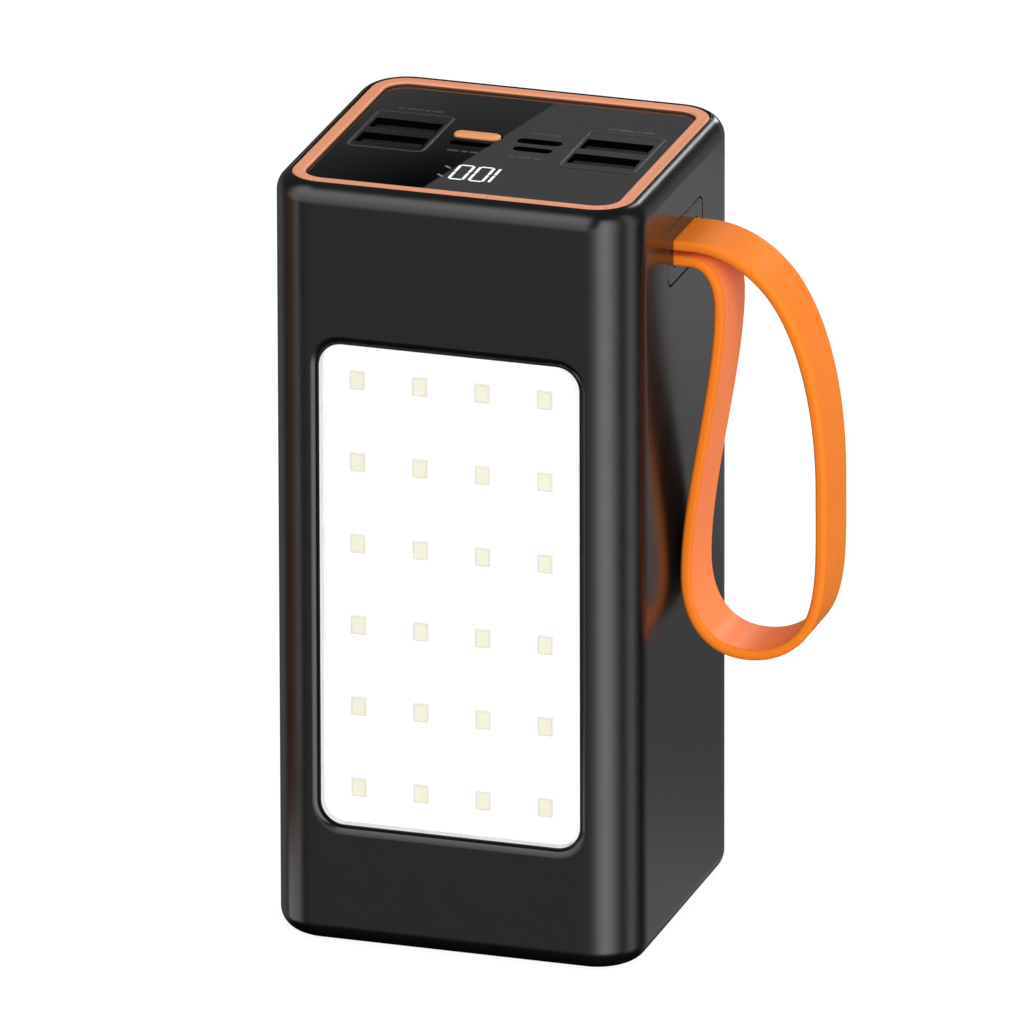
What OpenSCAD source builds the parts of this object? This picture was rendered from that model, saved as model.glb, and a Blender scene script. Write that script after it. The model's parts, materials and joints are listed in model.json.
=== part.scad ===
// Tall five-cell power bank with a lamp panel, a port panel on top and a silicone hand strap.
// Millimetres. +Z is up, +Y is the back, and the origin is the middle of the base.

/* [Body] */
// Width of the housing
body_w = 69; // [68:0.5:74]
// Depth of the housing, front to back
body_d = 64; // [63:0.5:70]
// Height of the housing up to the plane of its top edge rounding
body_h = 145; // [140:1:160]
// Radius of the four upright corners
corner_r = 9.5; // [9:0.25:11]
// Radius of the rounding along the top and bottom edges
edge_r = 4; // [3:0.25:4.5]
// Thickness of the side walls
wall = 2.5; // [2:0.1:2.8]
// Thickness of the floor
floor_t = 2.6; // [2:0.2:3.4]

/* [Port panel] */
// Width of the orange frame's face
frame_w = 2.5; // [2:0.1:3]
// How far the glossy panel lies below the orange frame
panel_recess = 0.7; // [0.4:0.1:1]
// Distance of each double USB-A block from the middle
usb_a_x = 19.85; // [19:0.05:20.5]
// Distance of the small ports and the button from the middle
port_x = 5.85; // [5.6:0.05:6.2]
// Height of the power button above the glossy panel
button_rise = 0.5; // [0.2:0.1:0.8]
// Travel of the power button
button_travel = 0.4; // [0.3:0.1:0.6]

/* [Lamp] */
// Width of the lens that shows in the front
lens_w = 48.6; // [44:0.2:49]
// Height of the lens that shows in the front
lens_h = 91.6; // [86:0.2:94]
// Height of the lamp's centre above the base
lamp_z = 69; // [64:1:74]
// Spacing of the light sources across the lamp
led_pitch_x = 11.7; // [10:0.1:12]
// Spacing of the light sources up the lamp
led_pitch_z = 15.55; // [14:0.05:16]

/* [Strap] */
// Width of the silicone band
strap_w = 14; // [12:0.5:14]
// Thickness of the silicone band
strap_t = 2; // [1.6:0.1:2.2]
// Height of the strap's root above the base
strap_z = 129.5; // [128:0.5:130]

/* [Battery] */
// Width of one pouch cell
cell_w = 60; // [54:1:60]
// Thickness of one pouch cell
cell_t = 10.2; // [9:0.1:10.2]
// Height of one pouch cell
cell_h = 112; // [100:1:112]

/* [Hidden] */
$fn = 64;

eps = 0.01;
side_x = body_w / 2;
front_y = -body_d / 2;

// Mouth of the housing and the pieces that fill it
cavity_w = body_w - 2 * wall;
cavity_d = body_d - 2 * wall;
cavity_r = corner_r - wall;
mouth_gap = 0.2;
frame_outer_w = cavity_w - 2 * mouth_gap;
frame_outer_d = cavity_d - 2 * mouth_gap;
frame_r = cavity_r - mouth_gap;
frame_h = 1.5;
frame_chamfer = 0.3;
frame_top = body_h - 0.4;
cover_top = frame_top - frame_h;
cover_t = 2;
cover_bottom = cover_top - cover_t;
panel_top = frame_top - panel_recess;
panel_t = panel_top - cover_top;
panel_gap = 0.1;
panel_w = frame_outer_w - 2 * frame_w - 2 * panel_gap;
panel_d = frame_outer_d - 2 * frame_w - 2 * panel_gap;
panel_r = frame_r - frame_w - panel_gap;

// Posts in the corners of the housing that the cover is screwed to
post_x = cavity_w / 2 - 4.8;
post_y = cavity_d / 2 - 5.1;
post_r = 3.2;
post_bottom = 120;
pilot_r = 1.12;
pilot_depth = 9;
screw_hole_r = 1.4;

// Screws: shank radius, shank length, head radius, head height
cover_screw = [1.1, 8.5, 2.3, 1.3];
board_screw = [0.85, 6, 1.8, 1.2];
slot_w = 0.4;

// Main board and the posts that hang it from the cover
board_t = 1.6;
board_w = 56.6;
board_d = 54;
board_top = 129.1;
board_posts = [[-11, 12.5], [11, 12.5], [-12.6, -10.5], [12.6, -10.5]];
board_post_r = 2.3;
board_pilot_r = 0.88;
board_hole_r = 1.1;

// Ports: centres and openings
usb_a_ys = [6, -2.05];
usb_a_open = [12.5, 5.12];
usb_a_skin = 0.3;
usb_shell_top = cover_top - 0.05;
usb_c_pos = [port_x, 4.3];
usb_c_open = [8.34, 2.66];
micro_pos = [port_x, 0];
micro_open = [7, 2.1];
inlet_pos = [-port_x, -0.1];
inlet_open = [7.4, 2.3];
small_skin = 0.25;
small_floor = 1;
small_tongue_drop = 0.8;
usb_c_tongue_size = [6.7, 0.7];
micro_tongue_size = [4.4, 0.6];
inlet_tongue_size = [5, 0.6];
tongue_offset = 0.3;
usb_frame_pos_y = 2.75;
usb_frame_size = [14.9, 20.2];
usb_frame_bead = 0.5;
usb_frame_rise = 0.12;

// Power button
button_pos = [-port_x, 4.3];
button_size = [9.1, 3.2];
button_gap = 0.2;
button_flange = [11, 4.4, 0.8];
button_stem_r = 1.1;
switch_size = [4.5, 4.5, 3.6];
plunger_r = 1.2;
plunger_rise = 0.9;

// Charge display
display_pos = [0, -15.2];
display_size = [17, 12];
digit_size = [3.1, 8];
digit_pitch = 3.72;
stroke = 0.55;
bar_gap = 0.08;
mark_x = -5.8;
mark_ys = [2, -2.6];
mark_length = 1.9;
mark_angle = -42;

// Lamp
window_gap = 0.7;
window_r = 5;
window_bevel = 0.8;
lens_recess = 0.7;
lens_t = 0.9;
lens_r = 4.3;
lens_rim = 0.9;
lens_chamfer = 0.35;
flange_margin = 2.7;
flange_r = lens_r + 1.5;
flange_t = 0.6;
flange_seat = 1.9;
gasket_t = 0.5;
lamp_board_t = 1.2;
led_size = [2.8, 3.5, 0.7];

// Battery stack
cell_y0 = -24;
cell_z0 = floor_t + 1.8;
tab_x = 15;
tab_size = [8, 0.2, 3.6];
bus_z = cell_z0 + cell_h + tab_size[2];
bus_t = 0.3;
stack_y = cell_y0 + 2.5 * cell_t;
guard_size = [42, 16, 1];
guard_top = bus_z + bus_t + guard_size[2];
pad_gap = 0.05;
pad_size = [42, 90];
pad_lift = 10;

// Strap
plate_size = [20.5, 10.8];
plate_r = 1.9;
plate_t = 0.98;
plate_gap = 0.2;
strap_slot = [strap_w + 0.4, 5.3];
layer_offset = 1.45;
knuckle_r = layer_offset + strap_t / 2;
knuckle_x = side_x + 0.25 + knuckle_r;
head_size = [17.4, 8.6, 2.9];

// Centreline of the strap loop in the X-Z plane, as cubic curves that run on from each other.
// Each row is [control, control, end]; the first curve starts on the upper layer at the knuckle.
loop_start = [knuckle_x, strap_z + layer_offset];
loop_curves = [
    [[43.5, 131.0], [49.6, 127.6], [53.6, 121.8]],
    [[58.6, 114.4], [61.8, 102.0], [61.8, 86.0]],
    [[61.8, 76.0], [62.2, 68.0], [60.0, 62.3]],
    [[58.0, 57.4], [53.6, 54.4], [48.2, 54.3]],
    [[41.4, 54.2], [36.6, 58.8], [36.5, 68.0]],
    [[36.4, 83.0], [42.6, 104.0], [42.75, 119.0]],
    [[42.8, 125.0], [40.6, 128.0], [knuckle_x, strap_z - layer_offset]],
];
curve_steps = 14;

// ---------- shared shapes ----------

module rounded_rect(w, d, r) {
    square([w - 2 * r, d], center = true);
    square([w, d - 2 * r], center = true);
    for (sx = [-1, 1], sy = [-1, 1])
        translate([sx * (w / 2 - r), sy * (d / 2 - r)]) circle(r);
}

module slab(w, d, h, r) {
    linear_extrude(h) rounded_rect(w, d, r);
}

module pill(size, h, grow = 0) {
    w = size[0] + 2 * grow;
    d = size[1] + 2 * grow;
    linear_extrude(h) {
        square([w - d, d], center = true);
        for (sx = [-1, 1]) translate([sx * (w - d) / 2, 0]) circle(d / 2);
    }
}

// Slab whose sides lean outwards by grow over its height
module leaning_slab(w, d, h, r, grow) {
    for (sx = [-1, 1], sy = [-1, 1])
        translate([sx * (w / 2 - r), sy * (d / 2 - r), 0])
            cylinder(h = h, r1 = r, r2 = r + grow);
    translate([-w / 2 + r, 0, 0]) rotate([90, 0, 90])
        linear_extrude(w - 2 * r)
            polygon([[-d / 2, 0], [d / 2, 0], [d / 2 + grow, h], [-d / 2 - grow, h]]);
    translate([0, d / 2 - r, 0]) rotate([90, 0, 0])
        linear_extrude(d - 2 * r)
            polygon([[-w / 2, 0], [w / 2, 0], [w / 2 + grow, h], [-w / 2 - grow, h]]);
}

// Slab with its top edge chamfered
module chamfered_slab(w, d, h, r, c) {
    slab(w, d, h - c, r);
    translate([0, 0, h - c]) leaning_slab(w, d, c, r, -c);
}

// Half outline of a block with rounded top and bottom edges, from its middle out to half_w
module edge_outline(half_w, h, top, bottom) {
    translate([0, bottom]) square([half_w, h - top - bottom]);
    square([half_w - max(bottom, eps), h - top]);
    square([half_w - top, h]);
    translate([half_w - top, h - top]) intersection() {
        circle(top);
        square(top);
    }
    if (bottom > 0)
        translate([half_w - bottom, bottom]) intersection() {
            circle(bottom);
            mirror([0, 1]) square(bottom);
        }
}

module full_outline(w, h, top, bottom) {
    edge_outline(w / 2, h, top, bottom);
    mirror([1, 0]) edge_outline(w / 2, h, top, bottom);
}

// Block with upright corners of radius r and rounded top and bottom edges
module soft_block(w, d, h, r, top, bottom) {
    for (sx = [-1, 1], sy = [-1, 1])
        translate([sx * (w / 2 - r), sy * (d / 2 - r), 0])
            rotate_extrude() edge_outline(r, h, top, bottom);
    if (w > 2 * r)
        translate([-w / 2 + r, 0, 0]) rotate([90, 0, 90])
            linear_extrude(w - 2 * r) full_outline(d, h, top, bottom);
    if (d > 2 * r)
        translate([0, d / 2 - r, 0]) rotate([90, 0, 0])
            linear_extrude(d - 2 * r) full_outline(w, h, top, bottom);
}

// Lays a shape drawn in the X-Y plane on the front face, facing forwards
module on_front(depth, z) {
    translate([0, front_y + depth, z]) rotate([90, 0, 0]) children();
}

// Lays a shape drawn in the X-Y plane on the right-hand side, facing outwards
module on_side(x, z) {
    translate([x, 0, z]) rotate([90, 0, 90]) children();
}

module at_corners(x, y) {
    for (sx = [-1, 1], sy = [-1, 1]) translate([sx * x, sy * y, 0]) children();
}

// Screw with its head's top at z = 0, pointing down
module screw(size) {
    head_r = size[2];
    head_h = size[3];
    recess = head_r * 0.9;
    difference() {
        union() {
            translate([0, 0, -head_h]) cylinder(h = head_h, r = head_r);
            translate([0, 0, -head_h - size[1]]) cylinder(h = size[1] + eps, r = size[0]);
        }
        for (a = [0, 90]) rotate([0, 0, a])
            translate([-recess / 2, -slot_w / 2, -head_h * 0.6]) cube([recess, slot_w, head_h]);
    }
}

// ---------- housing ----------

module corner_post_outline() {
    translate([post_x, post_y]) circle(post_r);
    translate([post_x, post_y - post_r]) square([10, 10]);
    translate([post_x - post_r, post_y]) square([10, 10]);
}

module cavity() {
    difference() {
        translate([0, 0, floor_t]) slab(cavity_w, cavity_d, body_h, cavity_r);
        translate([0, 0, post_bottom]) linear_extrude(cover_bottom - post_bottom)
            for (mx = [0, 1], my = [0, 1])
                mirror([mx, 0]) mirror([0, my]) corner_post_outline();
    }
}

module lamp_window() {
    w = lens_w + 2 * window_gap;
    h = lens_h + 2 * window_gap;
    on_front(wall + 1, lamp_z) slab(w, h, wall + 2, window_r);
    on_front(window_bevel, lamp_z)
        leaning_slab(w, h, window_bevel + eps, window_r, window_bevel);
    on_front(wall + 1, lamp_z)
        slab(lens_w + 2 * flange_margin + 0.4, lens_h + 2 * flange_margin + 0.4,
             wall + 1 - flange_seat, window_r + 1.2);
}

module strap_recess() {
    on_side(side_x - plate_t - 0.02, strap_z)
        slab(plate_size[0] + 2 * plate_gap, plate_size[1] + 2 * plate_gap, 5, plate_r + plate_gap);
    on_side(side_x - wall - 1, strap_z) slab(strap_slot[0], strap_slot[1], wall + 2, 0.6);
}

module main_shell() {
    color([0.03, 0.03, 0.035]) difference() {
        soft_block(body_w, body_d, body_h, corner_r, edge_r, edge_r);
        cavity();
        lamp_window();
        strap_recess();
        at_corners(post_x, post_y)
            translate([0, 0, cover_bottom - pilot_depth]) cylinder(h = pilot_depth + 1, r = pilot_r);
    }
}

// ---------- port panel ----------

module top_frame() {
    color([0.95, 0.42, 0.12]) translate([0, 0, cover_top]) difference() {
        chamfered_slab(frame_outer_w, frame_outer_d, frame_h, frame_r, frame_chamfer);
        translate([0, 0, -1])
            slab(frame_outer_w - 2 * frame_w, frame_outer_d - 2 * frame_w, frame_h + 2, frame_r - frame_w);
        translate([0, 0, frame_h - frame_chamfer])
            leaning_slab(frame_outer_w - 2 * frame_w, frame_outer_d - 2 * frame_w,
                         frame_chamfer + eps, frame_r - frame_w, frame_chamfer);
    }
}

module usb_a_places() {
    for (sx = [-1, 1], y = usb_a_ys) translate([sx * usb_a_x, y, 0]) children();
}

// Holes for the connector bodies, the button and the display
module cover_holes() {
    usb_a_grow = usb_a_skin + 0.2;
    usb_a_places()
        translate([0, 0, -5])
            slab(usb_a_open[0] + 2 * usb_a_grow, usb_a_open[1] + 2 * usb_a_grow, 12, 0.7);
    translate([usb_c_pos[0], usb_c_pos[1], -5]) pill(usb_c_open, 12, small_skin + 0.1);
    translate([micro_pos[0], micro_pos[1], -5]) pill(micro_open, 12, small_skin + 0.1);
    translate([inlet_pos[0], inlet_pos[1], -5]) pill(inlet_open, 12, small_skin + 0.1);
    translate([button_pos[0], button_pos[1], -5]) pill(button_size, 12, button_gap);
    translate([display_pos[0], display_pos[1], -5])
        slab(display_size[0] + 0.4, display_size[1] + 0.4, 12, 0.6);
}

module top_cover() {
    post_len = cover_bottom - board_top;
    head_seat = cover_screw[3] + 0.1;
    color([0.08, 0.08, 0.085]) translate([0, 0, cover_bottom]) difference() {
        union() {
            slab(frame_outer_w, frame_outer_d, cover_t, frame_r);
            for (p = board_posts)
                translate([p[0], p[1], -post_len]) cylinder(h = post_len + eps, r = board_post_r);
        }
        cover_holes();
        for (p = board_posts)
            translate([p[0], p[1], -post_len - 1]) cylinder(h = board_screw[1] + 1, r = board_pilot_r);
        at_corners(post_x, post_y) {
            translate([0, 0, -1]) cylinder(h = cover_t + 2, r = screw_hole_r);
            translate([0, 0, cover_t - head_seat]) cylinder(h = head_seat + 1, r = cover_screw[2] + 0.15);
        }
    }
}

module cover_screws() {
    color([0.55, 0.56, 0.58])
        at_corners(post_x, post_y) translate([0, 0, cover_top - 0.1]) screw(cover_screw);
}

module usb_frame_bead() {
    translate([0, 0, panel_t - eps]) difference() {
        slab(usb_frame_size[0], usb_frame_size[1], usb_frame_rise + eps, 1.6);
        translate([0, 0, -1])
            slab(usb_frame_size[0] - 2 * usb_frame_bead, usb_frame_size[1] - 2 * usb_frame_bead, 3, 1.1);
    }
}

module fascia_panel() {
    color([0.02, 0.02, 0.022]) translate([0, 0, cover_top]) difference() {
        union() {
            slab(panel_w, panel_d, panel_t, panel_r);
            for (sx = [-1, 1]) translate([sx * usb_a_x, usb_frame_pos_y, 0]) usb_frame_bead();
        }
        usb_a_places() translate([0, 0, -1]) slab(usb_a_open[0], usb_a_open[1] + 0.1, 4, 0.3);
        translate([usb_c_pos[0], usb_c_pos[1], -1]) pill(usb_c_open, 4);
        translate([micro_pos[0], micro_pos[1], -1]) pill(micro_open, 4, 0.15);
        translate([inlet_pos[0], inlet_pos[1], -1]) pill(inlet_open, 4, 0.1);
        translate([button_pos[0], button_pos[1], -1]) pill(button_size, 4, button_gap);
        translate([display_pos[0], display_pos[1], -1]) linear_extrude(4) {
            segments();
            marks();
        }
    }
}

// ---------- charge display ----------

// One bar of a digit with pointed ends, lying along X
module bar(length) {
    polygon([
        [-length / 2, 0], [-length / 2 + stroke / 2, stroke / 2], [length / 2 - stroke / 2, stroke / 2],
        [length / 2, 0], [length / 2 - stroke / 2, -stroke / 2], [-length / 2 + stroke / 2, -stroke / 2]
    ]);
}

module upright_bar(side, half) {
    length = (digit_size[1] - stroke) / 2;
    translate([side * (digit_size[0] - stroke) / 2, half * length / 2]) rotate(90) bar(length - bar_gap);
}

module zero() {
    for (side = [-1, 1], half = [-1, 1]) upright_bar(side, half);
    for (end = [-1, 1])
        translate([0, end * (digit_size[1] - stroke) / 2]) bar(digit_size[0] - stroke - bar_gap);
}

// The figures are read from the back, so the one stands on the right here
module segments() {
    for (place = [-0.7, 0.3]) translate([place * digit_pitch, 0]) zero();
    translate([1.3 * digit_pitch, 0]) for (half = [-1, 1]) upright_bar(-1, half);
}

// Two short strokes beside the figures
module marks() {
    for (y = mark_ys) translate([mark_x, y]) rotate(mark_angle) bar(mark_length);
}

module display_segments() {
    color([1, 1, 1]) translate([display_pos[0], display_pos[1], usb_shell_top])
        linear_extrude(panel_top - usb_shell_top) segments();
}

module display_marks() {
    color([0.75, 0.9, 0.92]) translate([display_pos[0], display_pos[1], usb_shell_top])
        linear_extrude(panel_top - usb_shell_top) marks();
}

module display_module() {
    stand = 4;
    pin_r = 0.25;
    pin_pitch = 2.54;
    pin_row_y = 4.6;
    color([0.1, 0.1, 0.11]) translate([display_pos[0], display_pos[1], 0]) {
        translate([0, 0, board_top + stand])
            slab(display_size[0], display_size[1], usb_shell_top - board_top - stand, 0.4);
        for (i = [-2:2], sy = [-1, 1])
            translate([i * pin_pitch, sy * pin_row_y, board_top]) cylinder(h = stand + eps, r = pin_r);
    }
}

// ---------- ports ----------

// Folded metal tube around an opening
module usb_a_shell(i) {
    h = usb_shell_top - board_top;
    color([0.12, 0.12, 0.13]) translate([usb_a_side(i) * usb_a_x, usb_a_row(i), board_top])
        difference() {
            slab(usb_a_open[0] + 2 * usb_a_skin, usb_a_open[1] + 2 * usb_a_skin, h, 0.6);
            translate([0, 0, -1]) slab(usb_a_open[0], usb_a_open[1], 20, 0.3);
        }
}

function usb_a_side(i) = i < 2 ? -1 : 1;
function usb_a_row(i) = usb_a_ys[i % 2];

// Tongue of a USB-A socket: from and to along X, its back face, and its base at the bottom
tongue_x = [-5.5, 5.7];
tongue_back = -0.02;
tongue_t = 1.84;
tongue_base_h = 2.4;
tongue_top = panel_top - 0.4;
contact_size = [1, 0.14];
contact_pitch = 2.4;
contact_end = 0.8;

module usb_a_tongue(i) {
    color([0.05, 0.05, 0.05]) translate([usb_a_side(i) * usb_a_x, usb_a_row(i), board_top]) {
        slab(usb_a_open[0] - 0.1, usb_a_open[1] - 0.1, tongue_base_h, 0.3);
        translate([tongue_x[0], tongue_back - tongue_t, tongue_base_h - eps])
            cube([tongue_x[1] - tongue_x[0], tongue_t, tongue_top - board_top - tongue_base_h + eps]);
    }
}

module usb_a_contacts(i) {
    length = tongue_top - board_top - tongue_base_h - contact_end;
    color([0.85, 0.65, 0.25]) translate([usb_a_side(i) * usb_a_x, usb_a_row(i), board_top])
        for (k = [0:3])
            translate([(k - 1.5) * contact_pitch - contact_size[0] / 2, tongue_back, tongue_base_h])
                cube([contact_size[0], contact_size[1], length]);
}

// Pill-shaped metal cup of a small port, and the tongue that stands on its floor
module small_port_shell(pos, open) {
    translate([pos[0], pos[1], board_top]) difference() {
        pill(open, usb_shell_top - board_top, small_skin);
        translate([0, 0, small_floor]) pill(open, usb_shell_top - board_top);
    }
}

module small_port_tongue(pos, size) {
    translate([pos[0] - size[0] / 2, pos[1] - size[1] / 2, board_top + small_floor])
        cube([size[0], size[1], usb_shell_top - board_top - small_floor - small_tongue_drop]);
}

module usb_c_shell() {
    color([0.12, 0.12, 0.13]) small_port_shell(usb_c_pos, usb_c_open);
}

module usb_c_tongue() {
    color([0.05, 0.05, 0.05]) small_port_tongue(usb_c_pos, usb_c_tongue_size);
}

module micro_usb_shell() {
    color([0.12, 0.12, 0.13]) small_port_shell(micro_pos, micro_open);
}

module micro_usb_tongue() {
    color([0.05, 0.05, 0.05]) small_port_tongue(micro_pos - [0, tongue_offset], micro_tongue_size);
}

module inlet_shell() {
    color([0.12, 0.12, 0.13]) small_port_shell(inlet_pos, inlet_open);
}

module inlet_tongue() {
    color([0.05, 0.05, 0.05]) small_port_tongue(inlet_pos - [0, tongue_offset], inlet_tongue_size);
}

// ---------- power button ----------

plunger_top = board_top + switch_size[2] + plunger_rise;

module power_button() {
    top_r = 0.45;
    flange_top = cover_bottom - 0.05;
    color([0.95, 0.45, 0.12]) translate([button_pos[0], button_pos[1], 0]) {
        translate([0, 0, flange_top - eps])
            soft_block(button_size[0], button_size[1], panel_top + button_rise - flange_top + eps,
                       button_size[1] / 2, top_r, 0);
        translate([0, 0, flange_top - button_flange[2]])
            pill([button_flange[0], button_flange[1]], button_flange[2]);
        translate([0, 0, plunger_top])
            cylinder(h = flange_top - button_flange[2] - plunger_top + eps, r = button_stem_r);
    }
}

module switch_plunger() {
    color([0.15, 0.15, 0.16]) translate([button_pos[0], button_pos[1], plunger_top - plunger_rise - 0.5])
        cylinder(h = plunger_rise + 0.5, r = plunger_r);
}

module switch_body() {
    color([0.3, 0.3, 0.31]) translate([button_pos[0], button_pos[1], board_top]) difference() {
        slab(switch_size[0], switch_size[1], switch_size[2], 0.3);
        translate([0, 0, switch_size[2] - 0.6 - button_travel]) cylinder(h = 3, r = plunger_r + 0.08);
    }
}

// ---------- main board ----------

module main_board() {
    notch_x = post_x - post_r - 0.5;
    notch_y = post_y - post_r - 0.5;
    color([0.05, 0.3, 0.14]) translate([0, 0, board_top - board_t]) difference() {
        union() {
            slab(board_w, 2 * notch_y, board_t, 0.8);
            slab(2 * notch_x, board_d, board_t, 0.8);
        }
        for (p = board_posts) translate([p[0], p[1], -1]) cylinder(h = board_t + 2, r = board_hole_r);
    }
}

module board_screws() {
    color([0.55, 0.56, 0.58]) for (p = board_posts)
        translate([p[0], p[1], board_top - board_t - board_screw[3]]) mirror([0, 0, 1]) screw(board_screw);
}

// Each chip is [x, y, width of its square package]
chips = [[0, 20, 6], [-20, -16, 5], [20, -16, 5], [-3, 11.5, 4]];
chip_t = 1.1;

module controller_chips() {
    color([0.04, 0.04, 0.045]) for (c = chips)
        translate([c[0], c[1], board_top]) slab(c[2], c[2], chip_t, 0.15);
}

inductor_size = [9, 7.5, 5];
inductor_pos = [19, 18];
capacitor_r = 3;
capacitor_h = 7.5;
capacitor_pos = [10, 20.5];

module inductors() {
    color([0.22, 0.22, 0.23]) for (sx = [-1, 1])
        translate([sx * inductor_pos[0], inductor_pos[1], board_top])
            chamfered_slab(inductor_size[0], inductor_size[1], inductor_size[2], 1, 0.5);
}

module capacitors() {
    color([0.75, 0.76, 0.78]) for (sx = [-1, 1])
        translate([sx * capacitor_pos[0], capacitor_pos[1], board_top])
            cylinder(h = capacitor_h, r = capacitor_r);
}

// ---------- lamp ----------

module lamp_lens() {
    flange_w = lens_w + 2 * flange_margin;
    flange_h = lens_h + 2 * flange_margin;
    back = flange_seat + flange_t;
    color([0.95, 0.96, 0.97, 0.5]) difference() {
        union() {
            on_front(flange_seat + eps, lamp_z)
                chamfered_slab(lens_w, lens_h, flange_seat + eps - lens_recess, lens_r, lens_chamfer);
            on_front(flange_seat + flange_t, lamp_z) slab(flange_w, flange_h, flange_t, flange_r);
        }
        on_front(back + 1, lamp_z)
            slab(lens_w - 2 * lens_rim, lens_h - 2 * lens_rim,
                 back + 1 - lens_recess - lens_t, lens_r - lens_rim);
    }
}

module lens_gasket() {
    clear = 0.05;
    color([0.02, 0.02, 0.02]) on_front(flange_seat, lamp_z) difference() {
        slab(lens_w + 2 * window_gap - 2 * clear, lens_h + 2 * window_gap - 2 * clear,
             gasket_t, window_r - clear);
        translate([0, 0, -1]) slab(lens_w + 2 * clear, lens_h + 2 * clear, 3, lens_r + clear);
    }
}

module lamp_board() {
    margin = flange_margin - 0.2;
    color([0.96, 0.96, 0.94]) on_front(flange_seat + flange_t + lamp_board_t, lamp_z)
        slab(lens_w + 2 * margin, lens_h + 2 * margin, lamp_board_t, lens_r + 1);
}

module at_leds() {
    for (column = [0:3], row = [0:5])
        on_front(flange_seat + flange_t, lamp_z)
            translate([(column - 1.5) * led_pitch_x, (row - 2.5) * led_pitch_z, 0]) children();
}

module lamp_leds() {
    color([0.93, 0.93, 0.9]) at_leds() difference() {
        translate([-led_size[0] / 2, -led_size[1] / 2, 0]) cube(led_size);
        translate([-led_size[0] / 2 + 0.3, -led_size[1] / 2 + 0.3, led_size[2] - 0.25])
            cube([led_size[0] - 0.6, led_size[1] - 0.6, 1]);
    }
}

module led_phosphors() {
    color([0.98, 0.93, 0.6]) at_leds()
        translate([-led_size[0] / 2 + 0.3, -led_size[1] / 2 + 0.3, led_size[2] - 0.25])
            cube([led_size[0] - 0.6, led_size[1] - 0.6, 0.2]);
}

// ---------- battery ----------

module battery_cell(i) {
    color([0.78, 0.79, 0.8]) translate([0, cell_y0 + (i + 0.5) * cell_t, cell_z0])
        slab(cell_w, cell_t - 0.1, cell_h, 1.6);
}

module cell_tabs() {
    color([0.8, 0.8, 0.78]) for (i = [0:4], sx = [-1, 1])
        translate([sx * tab_x - tab_size[0] / 2,
                   cell_y0 + (i + 0.5) * cell_t - tab_size[1] / 2, cell_z0 + cell_h])
            cube(tab_size);
}

// Strips that join the tabs of all cells, one strip on each side
module bus_bars() {
    color([0.8, 0.8, 0.78]) for (sx = [-1, 1])
        translate([sx * tab_x - tab_size[0] / 2, cell_y0 + cell_t / 4, bus_z])
            cube([tab_size[0], 4.5 * cell_t, bus_t]);
}

module protection_board() {
    color([0.05, 0.3, 0.14]) translate([0, stack_y, bus_z + bus_t])
        slab(guard_size[0], guard_size[1], guard_size[2], 0.6);
}

module protection_chips() {
    color([0.04, 0.04, 0.045]) for (x = [-9:6:9])
        translate([x, stack_y, guard_top]) slab(4, 5, 1, 0.1);
}

module foam_pads() {
    front_pad_y = front_y + flange_seat + flange_t + lamp_board_t + pad_gap;
    back_pad_y = cell_y0 + 5 * cell_t + pad_gap;
    color([0.25, 0.25, 0.26]) {
        translate([0, stack_y, floor_t]) slab(54, 46, cell_z0 - floor_t, 2);
        translate([-pad_size[0] / 2, front_pad_y, cell_z0 + pad_lift])
            cube([pad_size[0], cell_y0 - pad_gap - front_pad_y, pad_size[1]]);
        translate([-pad_size[0] / 2, back_pad_y, cell_z0 + pad_lift])
            cube([pad_size[0], cavity_d / 2 - pad_gap - back_pad_y, pad_size[1]]);
    }
}

// Wire that rises, turns through a right angle towards +Y and back up
module bent_wire(r, rise, run, up, bend) {
    cylinder(h = rise, r = r, $fn = 24);
    translate([0, bend, rise]) rotate([0, 90, 0]) rotate([0, 0, 180])
        rotate_extrude(angle = -90, $fn = 48) translate([bend, 0]) circle(r, $fn = 24);
    translate([0, bend, rise + bend]) rotate([-90, 0, 0]) cylinder(h = run, r = r, $fn = 24);
    translate([0, bend + run, rise + 2 * bend]) rotate([0, 90, 0])
        rotate_extrude(angle = 90, $fn = 48) translate([bend, 0]) circle(r, $fn = 24);
    translate([0, 2 * bend + run, rise + 2 * bend]) cylinder(h = up, r = r, $fn = 24);
}

lead_r = 0.9;
lead_bend = 1.6;
lead_x = 17.5;
lead_y = -3;

module battery_lead(x) {
    rise = 0.8;
    gap = board_top - board_t - guard_top;
    translate([x, lead_y, guard_top]) bent_wire(lead_r, rise, 2, gap - rise - 2 * lead_bend, lead_bend);
}

module battery_lead_positive() {
    color([0.8, 0.05, 0.04]) battery_lead(lead_x);
}

module battery_lead_negative() {
    color([0.03, 0.03, 0.03]) battery_lead(-lead_x);
}

lamp_lead_r = 0.5;

module lamp_leads() {
    start_z = lamp_z + lens_h / 2 - 2;
    rise = 3;
    up = board_top - board_t - start_z - rise - 2 * lead_bend;
    color([0.85, 0.85, 0.85]) for (x = [-2, 2])
        translate([x, front_y + flange_seat + flange_t + lamp_board_t + lamp_lead_r + pad_gap, start_z])
            bent_wire(lamp_lead_r, rise, 1.6, up, lead_bend);
}

// ---------- strap ----------

module strap_plate() {
    color([0.05, 0.05, 0.055]) on_side(side_x - plate_t, strap_z) difference() {
        slab(plate_size[0], plate_size[1], plate_t, plate_r);
        translate([0, 0, -1]) slab(strap_slot[0], strap_slot[1], 4, 0.6);
    }
}

module strap_anchor() {
    neck_h = 2 * knuckle_r;
    color([0.95, 0.42, 0.08]) {
        on_side(side_x - wall - 0.05 - head_size[2], strap_z)
            slab(head_size[0], head_size[1], head_size[2], 1);
        on_side(side_x - wall - 0.05 - eps, strap_z)
            slab(strap_w, neck_h, wall + 0.1, 0.5);
    }
}

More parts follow.
